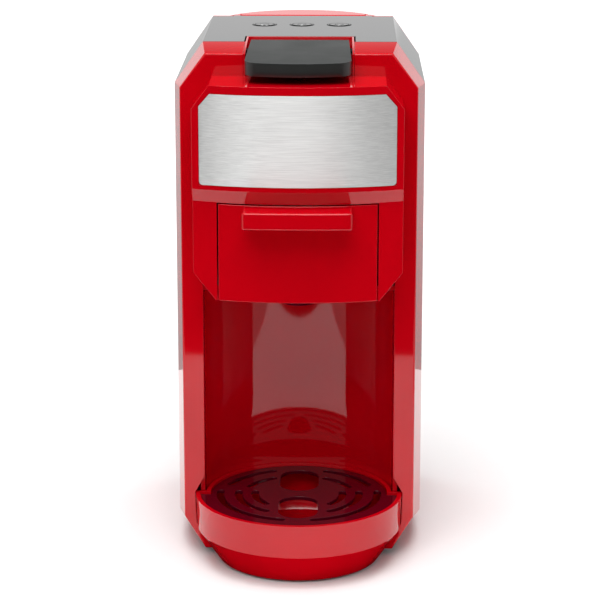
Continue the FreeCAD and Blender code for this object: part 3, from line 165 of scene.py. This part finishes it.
@dataclass(frozen=True)
class GlossMoulding(Finish):
    """Injection-moulded ABS from a polished mould: a near mirror with a faint orange peel.

    The real ripple is finer than this; it is drawn coarse enough to show.
    """

    ior: float | None = 1.53
    swirl: float = 0.06

    def detail(self, tree: bpy.types.NodeTree, place: bpy.types.NodeSocket, shader: bpy.types.Node) -> None:
        """Add a long soft flow variation in the colour, orange peel and hairline scuffs.

        Args:
            tree: the material's nodes.
            place: object coordinates in metres.
            shader: the Principled shader.
        """
        flow = add_node(tree, "ShaderNodeTexNoise", inputs={
            "Vector": place, "Scale": per_metre(60.0), "Detail": 2.0})
        tint = add_node(tree, "ShaderNodeHueSaturation", inputs={
            "Color": linear(self.colour)})
        shade = add_node(tree, "ShaderNodeMapRange", inputs={
            "Value": flow.outputs["Fac"], "From Min": 0.3, "From Max": 0.7,
            "To Min": 1.0 - self.swirl, "To Max": 1.0 + self.swirl})
        tree.links.new(shade.outputs["Result"], tint.inputs["Value"])
        tree.links.new(tint.outputs["Color"], shader.inputs["Base Color"])
        stretch = add_node(tree, "ShaderNodeMapping", inputs={
            "Vector": place, "Rotation": (0.5, 0.9, 0.3), "Scale": (1.0, 14.0, 14.0)})
        scuff = add_node(tree, "ShaderNodeTexNoise", inputs={
            "Vector": stretch.outputs["Vector"], "Scale": per_metre(18.0), "Detail": 3.0})
        polish = add_node(tree, "ShaderNodeMapRange", inputs={
            "Value": scuff.outputs["Fac"], "From Min": 0.62, "From Max": 0.8,
            "To Min": self.roughness, "To Max": self.roughness + self.patch})
        tree.links.new(polish.outputs["Result"], shader.inputs["Roughness"])
        peel = add_node(tree, "ShaderNodeTexNoise", inputs={
            "Vector": place, "Scale": per_metre(self.relief_mm), "Detail": 1.0})
        bump = add_node(tree, "ShaderNodeBump", inputs={
            "Height": peel.outputs["Fac"], "Strength": 0.35, "Distance": self.relief_depth_mm * MM})
        tree.links.new(bump.outputs["Normal"], shader.inputs["Normal"])


@dataclass(frozen=True)
class BrushedMetal(Finish):
    """Sheet steel brushed along X: long fine streaks that stretch every highlight."""

    metallic: float = 1.0
    streak_mm: float = 0.45
    streak_length_mm: float = 38.0

    def detail(self, tree: bpy.types.NodeTree, place: bpy.types.NodeSocket, shader: bpy.types.Node) -> None:
        """Add streaks to colour, roughness and relief, coarser than the real ones so that they show.

        Args:
            tree: the material's nodes.
            place: object coordinates in metres.
            shader: the Principled shader.
        """
        ratio = self.streak_length_mm / self.streak_mm
        layers = []
        for scale in (1.0, 2.3):
            stretch = add_node(tree, "ShaderNodeMapping", inputs={
                "Vector": place, "Scale": (scale, ratio * 0.25, ratio * scale)})
            layers.append(add_node(tree, "ShaderNodeTexNoise", inputs={
                "Vector": stretch.outputs["Vector"], "Scale": per_metre(self.streak_length_mm),
                "Detail": 3.0, "Roughness": 0.65}))
        both = add_node(tree, "ShaderNodeMath", {"operation": "ADD"},
                        {0: layers[0].outputs["Fac"], 1: layers[1].outputs["Fac"]})
        tone = add_node(tree, "ShaderNodeMapRange", inputs={
            "Value": both.outputs["Value"], "From Min": 0.7, "From Max": 1.3, "To Min": 0.8, "To Max": 1.06})
        tint = add_node(tree, "ShaderNodeHueSaturation", inputs={
            "Color": linear(self.colour), "Value": tone.outputs["Result"]})
        tree.links.new(tint.outputs["Color"], shader.inputs["Base Color"])
        rough = add_node(tree, "ShaderNodeMapRange", inputs={
            "Value": both.outputs["Value"], "From Min": 0.7, "From Max": 1.3,
            "To Min": self.roughness - self.patch, "To Max": self.roughness + self.patch})
        tree.links.new(rough.outputs["Result"], shader.inputs["Roughness"])
        shader.inputs["Anisotropic"].default_value = 0.85
        shader.inputs["Anisotropic Rotation"].default_value = 0.25
        around = add_node(tree, "ShaderNodeTangent", {"direction_type": "RADIAL", "axis": "Z"})
        tree.links.new(around.outputs["Tangent"], shader.inputs["Tangent"])
        bump = add_node(tree, "ShaderNodeBump", inputs={
            "Height": both.outputs["Value"], "Strength": 0.35, "Distance": self.relief_depth_mm * MM})
        tree.links.new(bump.outputs["Normal"], shader.inputs["Normal"])


@dataclass(frozen=True)
class ClearMoulding(Finish):
    """Smoked clear styrene of the tank wall."""

    ior: float | None = 1.57

    def shader(self, tree: bpy.types.NodeTree) -> bpy.types.Node:
        """Add the shader with light passing through it."""
        shader = super().shader(tree)
        shader.inputs["Transmission Weight"].default_value = 0.85
        return shader


# red ABS from a polished mould: deep colour under a near mirror, with a ripple only in highlights
RED = GlossMoulding("red_abs_gloss_moulded", "#BE0010", 0.045, relief_mm=1.6, relief_depth_mm=0.0025,
                    patch=0.06)
# the same ABS in a dark wine red: reads almost black until it catches the light
MAROON = GlossMoulding("maroon_abs_gloss_moulded", "#4A0212", 0.07, relief_mm=1.6, relief_depth_mm=0.0025,
                       patch=0.06)
# black ABS from a polished mould: takes its whole look from what it mirrors
BLACK_GLOSS = GlossMoulding("black_abs_gloss_moulded", "#0B0C0C", 0.05, relief_mm=1.8, relief_depth_mm=0.002,
                            patch=0.05)
# black ABS from a spark-eroded mould: wide soft highlights that turn the top grey
BLACK_SATIN = Finish("black_abs_satin_moulded", "#232625", 0.34, ior=1.53, relief_mm=0.35,
                     relief_depth_mm=0.01)
# filled polypropylene with a fine texture: dull and even, with no clear reflection
BLACK_MATTE = Finish("black_polypropylene_textured", "#1A1B1B", 0.55, ior=1.49, relief_mm=0.5,
                     relief_depth_mm=0.03)
# stainless sheet brushed from side to side: fine streaks, and highlights drawn out up and down
STEEL = BrushedMetal("stainless_steel_brushed", "#E9E9E8", 0.5, relief_depth_mm=0.003, patch=0.05)
# drawn stainless: bright, with slightly uneven polish
BRIGHT = Finish("stainless_steel_drawn", "#C9C8C4", 0.2, metallic=1.0, relief_mm=1.2, relief_depth_mm=0.004)
# zinc-plated steel: a cool grey shine broken up by the plating
ZINC = Finish("steel_zinc_plated", "#B4B6B8", 0.3, metallic=1.0, relief_mm=0.4, relief_depth_mm=0.006)
# die-cast aluminium: a pale skin with a pebbled surface
CAST = Finish("aluminium_die_cast", "#A9A9A6", 0.48, metallic=1.0, relief_mm=1.0, relief_depth_mm=0.04)
# moulded rubber: soft black without a highlight
RUBBER = Finish("rubber_moulded", "#141414", 0.75, ior=1.5, relief_mm=0.6, relief_depth_mm=0.03)
# extruded silicone: milky cream with a dull sheen
SILICONE = Finish("silicone_extruded", "#D8D2C6", 0.4, ior=1.41, relief_mm=1.5, relief_depth_mm=0.01)
# solder mask over a glass-fibre board: a glassy green with a faint weave
BOARD = Finish("circuit_board_solder_mask", "#0E4A22", 0.3, ior=1.5, relief_mm=1.2, relief_depth_mm=0.015)
# moulded nylon: warm white, half dull
NYLON = Finish("nylon_moulded", "#DAD7CC", 0.42, ior=1.53, relief_mm=0.6, relief_depth_mm=0.01)
# smoked clear styrene: a grey tint that darkens what stands behind it
CLEAR = ClearMoulding("styrene_smoked_clear", "#8E9698", 0.08)
# seamless studio paper: flat white
PAPER = Finish("paper_seamless_white", "#EDEEEE", 0.8, ior=1.3, relief_mm=1.5, relief_depth_mm=0.002,
               patch=0.02)
# matt cards seen only in reflections: the black one is painted shade under the tray, the other takes a grey
# glow on the stage that is a painted reflection of a dimmer far floor
PAINTED_SHADE_CARD = Finish("painted_shade_card_black", "#050505", 0.9, ior=1.2)
PAINTED_REFLECTION_CARD = Finish("painted_reflection_card_grey", "#050505", 0.9, ior=1.2)
# white lamp windows in the button's skin: small bright points
LAMP = Finish("lamp_window_white", "#F2F3F3", 0.4, ior=1.5, relief_mm=0.4, relief_depth_mm=0.002)
# dark pad print on black: shows only as a ring of less gloss
PRINT_GREY = Finish("pad_print_dark_grey", "#15181A", 0.5, ior=1.5, relief_mm=0.4, relief_depth_mm=0.002)


class Palette:
    """Makes each finish's material once."""

    def __init__(self) -> None:
        """Start with no materials."""
        self.made: dict[str, bpy.types.Material] = {}

    def material(self, finish: Finish) -> bpy.types.Material:
        """Return the finish's material, made on first use."""
        if finish.name not in self.made:
            self.made[finish.name] = finish.build()
        return self.made[finish.name]


PALETTE = Palette()


# ------------------------------------------------------------------ dressing CAD nodes

class EdgeStyle(Enum):
    """How far a moulding's edges are rounded, in millimetres."""

    CRISP = 0.15
    FINE = 0.35
    SOFT = 0.7
    NONE = 0.0


class Step(Enum):
    """The two jobs that a small geometry node group does around the edge rounding."""

    CLEAN = "drop_stored_normals"
    SHADE = "smooth_by_angle"


def geometry_step(step: Step, angle: float = 30.0) -> bpy.types.NodeTree:
    """Make the node group for one step.

    Args:
        step: CLEAN drops stored normals and joins doubled points; SHADE shades the mesh smooth
            except across sharp edges.
        angle: the edge angle in degrees from which an edge stays sharp.

    Returns:
        The node group.
    """
    name = f"{step.value}_{int(angle)}"
    if name in bpy.data.node_groups:
        return bpy.data.node_groups[name]
    group = bpy.data.node_groups.new(name, "GeometryNodeTree")
    group.interface.new_socket("Geometry", in_out="INPUT", socket_type="NodeSocketGeometry")
    group.interface.new_socket("Geometry", in_out="OUTPUT", socket_type="NodeSocketGeometry")
    start = add_node(group, "NodeGroupInput")
    if step is Step.CLEAN:
        bare = add_node(group, "GeometryNodeRemoveAttribute", inputs={
            "Geometry": start.outputs[0], "Name": "custom_normal"})
        joined = add_node(group, "GeometryNodeMergeByDistance", inputs={
            "Geometry": bare.outputs[0], "Distance": 0.002 * MM})
        add_node(group, "NodeGroupOutput", inputs={0: joined.outputs[0]})
        return group
    faces = add_node(group, "GeometryNodeSetShadeSmooth", {"domain": "FACE"}, {
        "Geometry": start.outputs[0], "Shade Smooth": True})
    edge = add_node(group, "GeometryNodeInputMeshEdgeAngle")
    flat = add_node(group, "FunctionNodeCompare", {"operation": "LESS_EQUAL"}, {
        0: edge.outputs["Unsigned Angle"], 1: math.radians(angle)})
    edges = add_node(group, "GeometryNodeSetShadeSmooth", {"domain": "EDGE"}, {
        "Geometry": faces.outputs[0], "Shade Smooth": flat.outputs[0]})
    add_node(group, "NodeGroupOutput", inputs={0: edges.outputs[0]})
    return group


def soften(item: bpy.types.Object, edge: EdgeStyle, angle: float = 24.0) -> None:
    """Round an object's sharp edges with modifiers and shade the rest smooth.

    Args:
        item: the object, whose mesh stays as it is.
        edge: how far the edges are rounded.
        angle: the angle in degrees from which an edge counts as sharp.
    """
    clean = item.modifiers.new("clean", "NODES")
    clean.node_group = geometry_step(Step.CLEAN)
    if edge.value:
        flat = item.modifiers.new("merge_flats", "DECIMATE")
        flat.decimate_type = "DISSOLVE"
        flat.angle_limit = math.radians(0.2)
        bevel = item.modifiers.new("edge_round", "BEVEL")
        bevel.width = edge.value * MM
        bevel.segments = 3
        bevel.limit_method = "ANGLE"
        bevel.angle_limit = math.radians(angle)
        bevel.use_clamp_overlap = True
        bevel.miter_outer = "MITER_ARC"
    smooth = item.modifiers.new("smooth", "NODES")
    smooth.node_group = geometry_step(Step.SHADE, angle + 8.0)
    weigh = item.modifiers.new("weigh_normals", "WEIGHTED_NORMAL")
    weigh.weight = 100
    weigh.keep_sharp = True


def dress(node: str, finish: Finish, edge: EdgeStyle = EdgeStyle.FINE) -> bpy.types.Object:
    """Give a CAD node its finish and its rounded edges.

    Args:
        node: the CAD node's name.
        finish: its finish.
        edge: how far its edges are rounded.

    Returns:
        The node's object.
    """
    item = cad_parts[node]
    material = PALETTE.material(finish)
    if not item.material_slots:
        item.data.materials.append(material)
    for place in item.material_slots:
        place.material = material
    soften(item, edge)
    log.info("dressed %s in %s", node, finish.name)
    return item


# ------------------------------------------------------------------ stage

@dataclass
class Studio:
    """The plain pale floor, the soft light and the camera."""

    camera_x: float = 0.02157
    camera_y: float = -1.26095
    camera_z: float = 0.45463
    pitch: float = 14.40
    turn: float = 0.994
    lens: float = 139.1
    floor_front: float = -0.46
    floor_back: float = 4.0
    floor_half: float = 3.0
    sky_front: float = 0.56
    sky_back: float = 0.88
    sky_high: float = 0.08
    sky_dark: float = 0.01
    far_glow: float = 0.7
    glow_start: float = 0.3
    glow_end: float = 1.3
    card_height: float = 0.0004
    horizon: tuple[float, float] = (-0.10, 0.15)
    ahead: tuple[float, float] = (-0.55, -0.25)
    behind: tuple[float, float] = (-0.1, 0.6)
    bright_band: tuple[float, float] = (0.17, 0.27)
    near_grey: float = 0.42
    far_grey: float = 0.6
    grey_start: float = 0.3
    grey_end: float = 1.1
    key_watts: float = 16.0
    top_watts: float = 19.0

    def build(self) -> None:
        """Make floor, world, lights and camera."""
        self.floor()
        self.world()
        self.lights()
        self.camera()

    def floor(self) -> None:
        """A white sheet that ends a hand's breadth before the machine and glows far behind it."""
        low, high = (-self.floor_half, self.floor_front), (self.floor_half, self.floor_back)
        item = self.sheet("floor", low, high, 0.0)
        material = PALETTE.material(PAPER)
        item.data.materials.append(material)
        tree = material.node_tree
        place = add_node(tree, "ShaderNodeTexCoord")
        far = add_node(tree, "ShaderNodeVectorMath", {"operation": "LENGTH"}, {0: place.outputs["Object"]})
        glow = add_node(tree, "ShaderNodeMapRange", inputs={
            "Value": far.outputs["Value"], "From Min": self.glow_start, "From Max": self.glow_end,
            "To Min": 0.0, "To Max": self.far_glow})
        shader = next(node for node in tree.nodes if node.type == "BSDF_PRINCIPLED")
        shader.inputs["Emission Color"].default_value = linear("#FFFFFF")
        tree.links.new(glow.outputs["Result"], shader.inputs["Emission Strength"])
        # painted shade: a black card under the overhang of the tray, which only reflections see, stands for
        # the shaded floor that the tray's lower bevel mirrors
        low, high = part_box("drip_tray")
        card = self.sheet("painted_shade_under_tray_card", (low[0], low[1]), (high[0], high[1]), self.card_height)
        card.data.materials.append(PALETTE.material(PAINTED_SHADE_CARD))
        self.only_in_reflections(card)
        # painted reflection: grey glowing cards at the sides and behind, which only reflections see, stand for
        # a dimmer far floor in the flared sides
        for name, corner, end in (
                ("left_painted_reflection_card", (-self.floor_half, self.floor_front), (-self.grey_start, self.floor_back)),
                ("right_painted_reflection_card", (self.grey_start, self.floor_front), (self.floor_half, self.floor_back)),
                ("rear_painted_reflection_card", (-self.grey_start, self.grey_start), (self.grey_start, self.floor_back))):
            card = self.sheet(name, corner, end, self.card_height)
            card.data.materials.append(self.painted_reflection_glow())
            self.only_in_reflections(card)

    def painted_reflection_glow(self) -> bpy.types.Material:
        """Make the painted reflection of the far floor that the flared sides mirror: a grey glow graded with
        distance on cards that only reflections see.
        """
        material = PALETTE.material(PAINTED_REFLECTION_CARD)
        tree = material.node_tree
        shader = next(node for node in tree.nodes if node.type == "BSDF_PRINCIPLED")
        if not shader.inputs["Emission Strength"].is_linked:
            place = add_node(tree, "ShaderNodeTexCoord")
            far = add_node(tree, "ShaderNodeVectorMath", {"operation": "LENGTH"}, {
                0: place.outputs["Object"]})
            glow = add_node(tree, "ShaderNodeMapRange", inputs={
                "Value": far.outputs["Value"], "From Min": self.grey_start, "From Max": self.grey_end,
                "To Min": self.near_grey, "To Max": self.far_grey})
            shader.inputs["Emission Color"].default_value = linear("#FFFFFF")
            tree.links.new(glow.outputs["Result"], shader.inputs["Emission Strength"])
        return material

    @staticmethod
    def only_in_reflections(item: bpy.types.Object) -> None:
        """Hide a card from all but glossy rays."""
        item.visible_camera = item.visible_diffuse = False
        item.visible_shadow = item.visible_transmission = False

    @staticmethod
    def sheet(name: str, low: tuple[float, float], high: tuple[float, float],
              height: float) -> bpy.types.Object:
        """Lay a flat sheet for the stage.

        Args:
            name: the object's name.
            low: its lowest X and Y in metres.
            high: its highest X and Y.
            height: its Z.

        Returns:
            The sheet, already marked as stage.
        """
        mesh = bpy.data.meshes.new(name)
        mesh.from_pydata([(low[0], low[1], height), (high[0], low[1], height), (high[0], high[1], height),
                          (low[0], high[1], height)], [], [(0, 1, 2, 3)])
        item = bpy.data.objects.new(name, mesh)
        bpy.context.scene.collection.objects.link(item)
        return item

    def world(self) -> None:
        """A plain white backdrop, whose light is graded: dark low in front and high behind."""
        world = bpy.data.worlds.new("studio")
        bpy.context.scene.world = world
        world.use_nodes = True
        tree = world.node_tree
        tree.nodes.clear()
        place = add_node(tree, "ShaderNodeTexCoord")
        axes = add_node(tree, "ShaderNodeSeparateXYZ", inputs={0: place.outputs["Generated"]})
        below = add_node(tree, "ShaderNodeMapRange", {"interpolation_type": "SMOOTHSTEP"}, {
            "Value": axes.outputs["Z"], "From Min": self.horizon[0], "From Max": self.horizon[1],
            "To Min": 1.0, "To Max": 0.0})
        front = add_node(tree, "ShaderNodeMapRange", {"interpolation_type": "SMOOTHSTEP"}, {
            "Value": axes.outputs["Y"], "From Min": self.ahead[0], "From Max": self.ahead[1],
            "To Min": 1.0, "To Max": 0.0})
        dark = add_node(tree, "ShaderNodeMath", {"operation": "MULTIPLY"}, {
            0: below.outputs["Result"], 1: front.outputs["Result"]})
        high = add_node(tree, "ShaderNodeMapRange", {"interpolation_type": "SMOOTHSTEP"}, {
            "Value": axes.outputs["Z"], "From Min": self.bright_band[0], "From Max": self.bright_band[1],
            "To Min": self.sky_back, "To Max": self.sky_high})
        back = add_node(tree, "ShaderNodeMapRange", {"interpolation_type": "SMOOTHSTEP"}, {
            "Value": axes.outputs["Y"], "From Min": self.behind[0], "From Max": self.behind[1],
            "To Min": self.sky_front, "To Max": high.outputs["Result"]})
        light = add_node(tree, "ShaderNodeMapRange", inputs={
            "Value": dark.outputs["Value"], "To Min": back.outputs["Result"], "To Max": self.sky_dark})
        sky = add_node(tree, "ShaderNodeBackground", inputs={
            "Color": linear("#FFFFFF"), "Strength": light.outputs["Result"]})
        backdrop = add_node(tree, "ShaderNodeBackground", inputs={
            "Color": linear("#FFFFFF"), "Strength": 1.0})
        seen = add_node(tree, "ShaderNodeLightPath")
        both = add_node(tree, "ShaderNodeMixShader", inputs={
            0: seen.outputs["Is Camera Ray"], 1: sky.outputs["Background"], 2: backdrop.outputs["Background"]})
        add_node(tree, "ShaderNodeOutputWorld", inputs={"Surface": both.outputs["Shader"]})

    def lights(self) -> None:
        """A large soft light high in front, and one overhead that gloss doesn't mirror."""
        for name, spot, aim, size, power in (
                ("key", (-0.15, -0.8, 1.35), (0, 0, 0.14), 1.1, self.key_watts),
                ("overhead", (0.0, 0.15, 1.5), (0, 0, 0.1), 1.2, self.top_watts)):
            data = bpy.data.lights.new(name, "AREA")
            data.shape = "SQUARE"
            data.size = size
            data.energy = power
            item = bpy.data.objects.new(name, data)
            item.location = spot
            item.rotation_mode = "QUATERNION"
            item.rotation_quaternion = (Vector(aim) - Vector(spot)).to_track_quat("-Z", "Y")
            item.visible_glossy = name == "key"
            bpy.context.scene.collection.objects.link(item)

    def camera(self) -> None:
        """The camera, level from side to side and looking a little down."""
        data = bpy.data.cameras.new("camera")
        data.lens = self.lens
        data.sensor_width = 36.0
        item = bpy.data.objects.new("camera", data)
        item.location = (self.camera_x, self.camera_y, self.camera_z)
        down, turn = math.radians(self.pitch), math.radians(self.turn)
        ahead = Vector((-math.sin(turn) * math.cos(down), math.cos(turn) * math.cos(down), -math.sin(down)))
        item.rotation_mode = "QUATERNION"
        item.rotation_quaternion = ahead.to_track_quat("-Z", "Y")
        bpy.context.scene.collection.objects.link(item)
        bpy.context.scene.camera = item
        bpy.context.scene.view_settings.view_transform = "Standard"


# ------------------------------------------------------------------ small detail pieces

def new_piece(name: str, mesh: bmesh.types.BMesh, finish: Finish, body: str) -> bpy.types.Object:
    """Turn a bmesh into a piece that rides on a body.

    Args:
        name: the piece's name.
        mesh: its shape in metres; it is freed.
        finish: its finish.
        body: the CAD body that it moves with.

    Returns:
        The new object.
    """
    bmesh.ops.recalc_face_normals(mesh, faces=mesh.faces)
    data = bpy.data.meshes.new(name)
    mesh.to_mesh(data)
    mesh.free()
    data.materials.append(PALETTE.material(finish))
    data.shade_smooth()
    item = bpy.data.objects.new(name, data)
    bpy.context.scene.collection.objects.link(item)
    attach(item, body)
    log.info("built %s on %s", name, body)
    return item


@dataclass
class PanHeadScrews:
    """A set of pan-head screws with cross recesses, in place of their plain CAD solids."""

    node: str
    seats: list[tuple[Vector, Vector]]
    head_mm: float = 3.2
    rise_mm: float = 1.5
    shank_mm: float = 1.5
    length_mm: float = 9.0
    arm_mm: float = 1.9
    arm_half_mm: float = 0.42
    recess_mm: float = 1.0
    rim_mm: float = 0.12
    tip_mm: float = 0.4
    point_mm: float = 1.2
    rings: int = 20
    spokes: int = 48

    def crown(self, across: float, along: float) -> float:
        """Height of the head above its seat at a point, in millimetres.

        Args:
            across: the point's distance from the axis one way, in millimetres.
            along: its distance the other way.

        Returns:
            The height.
        """
        reach = math.hypot(across, along) / self.head_mm
        dome = self.rise_mm * (0.55 + 0.45 * math.sqrt(max(1.0 - reach ** 2.6, 0.0)))
        near, far = sorted((abs(across), abs(along)))
        arm = self.edge(self.arm_half_mm - near) * self.edge(self.arm_mm - far)
        return dome - self.recess_mm * arm * (1.0 - 0.4 * far / self.arm_mm)

    @staticmethod
    def edge(inside: float) -> float:
        """Blend from 0 outside to 1 inside over a fifth of a millimetre."""
        return min(max(inside / 0.2 + 0.5, 0.0), 1.0)

    def build(self) -> bpy.types.Object:
        """Build the heads and shanks, and hide the plain ones.

        Returns:
            The piece that holds all the screws.
        """
        mesh = bmesh.new()
        for seat, out in self.seats:
            side = out.orthogonal().normalized()
            other = out.cross(side)
            profile = [(self.head_mm * ring / self.rings, None) for ring in range(1, self.rings + 1)]
            profile += [(self.head_mm, self.rim_mm), (self.head_mm - self.rim_mm, 0.0), (self.shank_mm, 0.0),
                        (self.shank_mm, self.point_mm - self.length_mm), (self.tip_mm, -self.length_mm)]
            rows = []
            for radius, height in profile:
                row = []
                for spoke in range(self.spokes):
                    turn = 2 * math.pi * spoke / self.spokes
                    across, along = radius * math.cos(turn), radius * math.sin(turn)
                    lift = self.crown(across, along) if height is None else height
                    row.append(mesh.verts.new(seat + (side * across + other * along + out * lift) * MM))
                rows.append(row)
            tips = [mesh.verts.new(seat + out * self.crown(0.0, 0.0) * MM),
                    mesh.verts.new(seat - out * self.length_mm * MM)]
            for spoke in range(self.spokes):
                after = (spoke + 1) % self.spokes
                for inner, outer in zip(rows, rows[1:]):
                    mesh.faces.new((inner[spoke], outer[spoke], outer[after], inner[after]))
                mesh.faces.new((tips[0], rows[0][spoke], rows[0][after]))
                mesh.faces.new((tips[1], rows[-1][after], rows[-1][spoke]))
        item = new_piece(f"{self.node}_pan_head", mesh, ZINC, HOUSING)
        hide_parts(self.node)
        return item


@dataclass
class ButtonMark:
    """A thin printed ring on a button with the lamp windows that show through it."""

    button: str
    lamps: int
    ring_mm: float = 5.6
    inner_share: float = 0.38
    lamp_share: float = 0.72
    line_mm: float = 0.45
    lamp_mm: float = 0.7
    lamp_gap_mm: float = 2.6
    pip_mm: float = 0.01
    skin_mm: float = 0.02
    spokes: int = 64

    def disc(self, mesh: bmesh.types.BMesh, centre: Vector, inner: float, outer: float) -> None:
        """Add a flat ring, or nearly a disc when its inner radius is tiny.

        Args:
            mesh: the bmesh that gets the faces.
            centre: the ring's middle, in metres.
            inner: its inner radius in millimetres.
            outer: its outer radius.
        """
        rims = []
        for radius, lift in ((inner, 1.0), (outer, 1.0), (outer, 0.0)):
            rims.append([mesh.verts.new(centre + Vector((
                radius * math.cos(2 * math.pi * spoke / self.spokes),
                radius * math.sin(2 * math.pi * spoke / self.spokes), self.skin_mm * lift)) * MM)
                for spoke in range(self.spokes)])
        for spoke in range(self.spokes):
            after = (spoke + 1) % self.spokes
            for first, second in zip(rims, rims[1:]):
                mesh.faces.new((first[spoke], second[spoke], second[after], first[after]))

    def build(self) -> None:
        """Print the ring and set the lamps on the button's top face."""
        low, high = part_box(self.button)
        centre = Vector(((low[0] + high[0]) / 2, (low[1] + high[1]) / 2, high[2]))
        ring = bmesh.new()
        self.disc(ring, centre, self.ring_mm - self.line_mm, self.ring_mm)
        inner = self.ring_mm * self.inner_share
        self.disc(ring, centre, inner, inner + self.line_mm)
        new_piece(f"{self.button}_print", ring, PRINT_GREY, self.button)
        if not self.lamps:
            return
        lamp = bmesh.new()
        for place in range(self.lamps):
            shift = (place - (self.lamps - 1) / 2) * self.lamp_gap_mm
            spot = centre + Vector((shift, -self.ring_mm * self.lamp_share, 0.0)) * MM
            self.disc(lamp, spot, self.pip_mm, self.lamp_mm)
        new_piece(f"{self.button}_lamps", lamp, LAMP, self.button)


# ------------------------------------------------------------------ sub-assemblies

@dataclass
class Housing:
    """Frame, panels, covers, floor, feet and screws."""

    head_mm: float = 3.2

    def screws(self) -> None:
        """Seat the base screws under the floor and the rear screws in the back wall."""
        inset = self.head_mm * MM
        low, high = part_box("base_screws")
        back, down = Vector((0, 1, 0)), Vector((0, 0, -1))
        sides, ends = (low[0] + inset, high[0] - inset), (low[1] + inset, high[1] - inset)
        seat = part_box("base_plate")[0][2]
        PanHeadScrews("base_screws", [(Vector((x, y, seat)), down) for x in sides for y in ends]).build()
        low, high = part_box("rear_screws")
        sides, ends = (low[0] + inset, high[0] - inset), (low[2] + inset, high[2] - inset)
        seat = high[1] - PanHeadScrews.rise_mm * MM
        PanHeadScrews("rear_screws", [(Vector((x, seat, z)), back) for x in sides for z in ends]).build()

    def build(self) -> None:
        """Dress the housing's nodes."""
        dress("front_frame", RED, EdgeStyle.FINE)
        dress("left_side_panel", RED, EdgeStyle.FINE)
        dress("right_side_panel", RED, EdgeStyle.FINE)
        dress("rear_shell", RED, EdgeStyle.FINE)
        dress("top_cover", BLACK_GLOSS, EdgeStyle.FINE)
        dress("base_plate", BLACK_MATTE, EdgeStyle.FINE)
        dress("rubber_feet", RUBBER, EdgeStyle.FINE)
        self.screws()
        dress("cup_bay_liner", RED, EdgeStyle.CRISP)
        dress("cord_gland", BLACK_MATTE, EdgeStyle.CRISP)
        dress("terminal_block", NYLON)
        dress("wiring_loom", BLACK_MATTE, EdgeStyle.NONE)


@dataclass
class BrewHead:
    """Head moulding, fascia and what works inside the head."""

    def build(self) -> None:
        """Dress the head's nodes."""
        dress("head_shell", RED, EdgeStyle.SOFT)
        dress("steel_fascia", STEEL, EdgeStyle.CRISP)
        dress("lever_well", RED, EdgeStyle.CRISP)
        dress("press_lever", BLACK_SATIN, EdgeStyle.SOFT)
        dress("lever_pin", BLACK_MATTE, EdgeStyle.CRISP)
        dress("brew_plunger", BLACK_MATTE, EdgeStyle.CRISP)
        dress("plunger_gasket", SILICONE, EdgeStyle.CRISP)
        dress("shower_screen", BRIGHT, EdgeStyle.NONE)
        dress("plunger_guide", BLACK_MATTE, EdgeStyle.CRISP)
        dress("plunger_spring", BRIGHT, EdgeStyle.NONE)


@dataclass
class PodDrawer:
    """Drawer front, handle, carrier and pod holder."""

    def build(self) -> None:
        """Dress the drawer's nodes."""
        dress("drawer_front", RED, EdgeStyle.FINE)
        dress("drawer_handle", RED, EdgeStyle.SOFT)
        dress("drawer_carrier", BLACK_MATTE, EdgeStyle.CRISP)
        dress("drawer_rails", BLACK_MATTE, EdgeStyle.CRISP)
        dress("pod_holder", BLACK_MATTE, EdgeStyle.CRISP)
        dress("pod_basket", BRIGHT, EdgeStyle.NONE)
        dress("outlet_spout", MAROON, EdgeStyle.CRISP)


@dataclass
class CupStand:
    """Drip tray and grille."""

    def build(self) -> None:
        """Dress the tray and the grille."""
        dress("drip_tray", RED, EdgeStyle.SOFT)
        dress("drip_grille", MAROON, EdgeStyle.FINE)


@dataclass
class Controls:
    """Buttons and what lies under them."""

    def build(self) -> None:
        """Dress the buttons and the board."""
        for name, lamps in (("button_left", 2), ("button_middle", 1), ("button_right", 1)):
            dress(name, BLACK_GLOSS, EdgeStyle.CRISP)
            ButtonMark(name, lamps).build()
        dress("control_board", BOARD, EdgeStyle.NONE)
        dress("button_switches", BLACK_MATTE, EdgeStyle.NONE)
        dress("board_bracket", BLACK_MATTE, EdgeStyle.NONE)


@dataclass
class WaterSystem:
    """Tank, lid, heater and plumbing."""

    def build(self) -> None:
        """Dress the tank, the heater and the hoses."""
        dress("water_tank", CLEAR, EdgeStyle.NONE)
        dress("tank_strainer", NYLON, EdgeStyle.NONE)
        dress("tank_lid", RED, EdgeStyle.FINE)
        dress("tank_lid_pin", ZINC, EdgeStyle.NONE)
        dress("heater_block", CAST, EdgeStyle.FINE)
        dress("heater_element", BRIGHT, EdgeStyle.NONE)
        dress("thermostat", BLACK_MATTE, EdgeStyle.CRISP)
        dress("thermal_fuse", NYLON, EdgeStyle.NONE)
        dress("heater_feet", NYLON, EdgeStyle.NONE)
        dress("cold_hoses", SILICONE, EdgeStyle.NONE)
        dress("check_valve", NYLON, EdgeStyle.NONE)
        dress("hot_hose", SILICONE, EdgeStyle.NONE)


def main() -> None:
    """Build the studio and every sub-assembly in order."""
    logging.basicConfig(level=logging.INFO, format="%(name)s: %(message)s")
    Studio().build()
    for assembly in (Housing(), BrewHead(), PodDrawer(), CupStand(), Controls(), WaterSystem()):
        assembly.build()


if __name__ == "__main__":
    main()
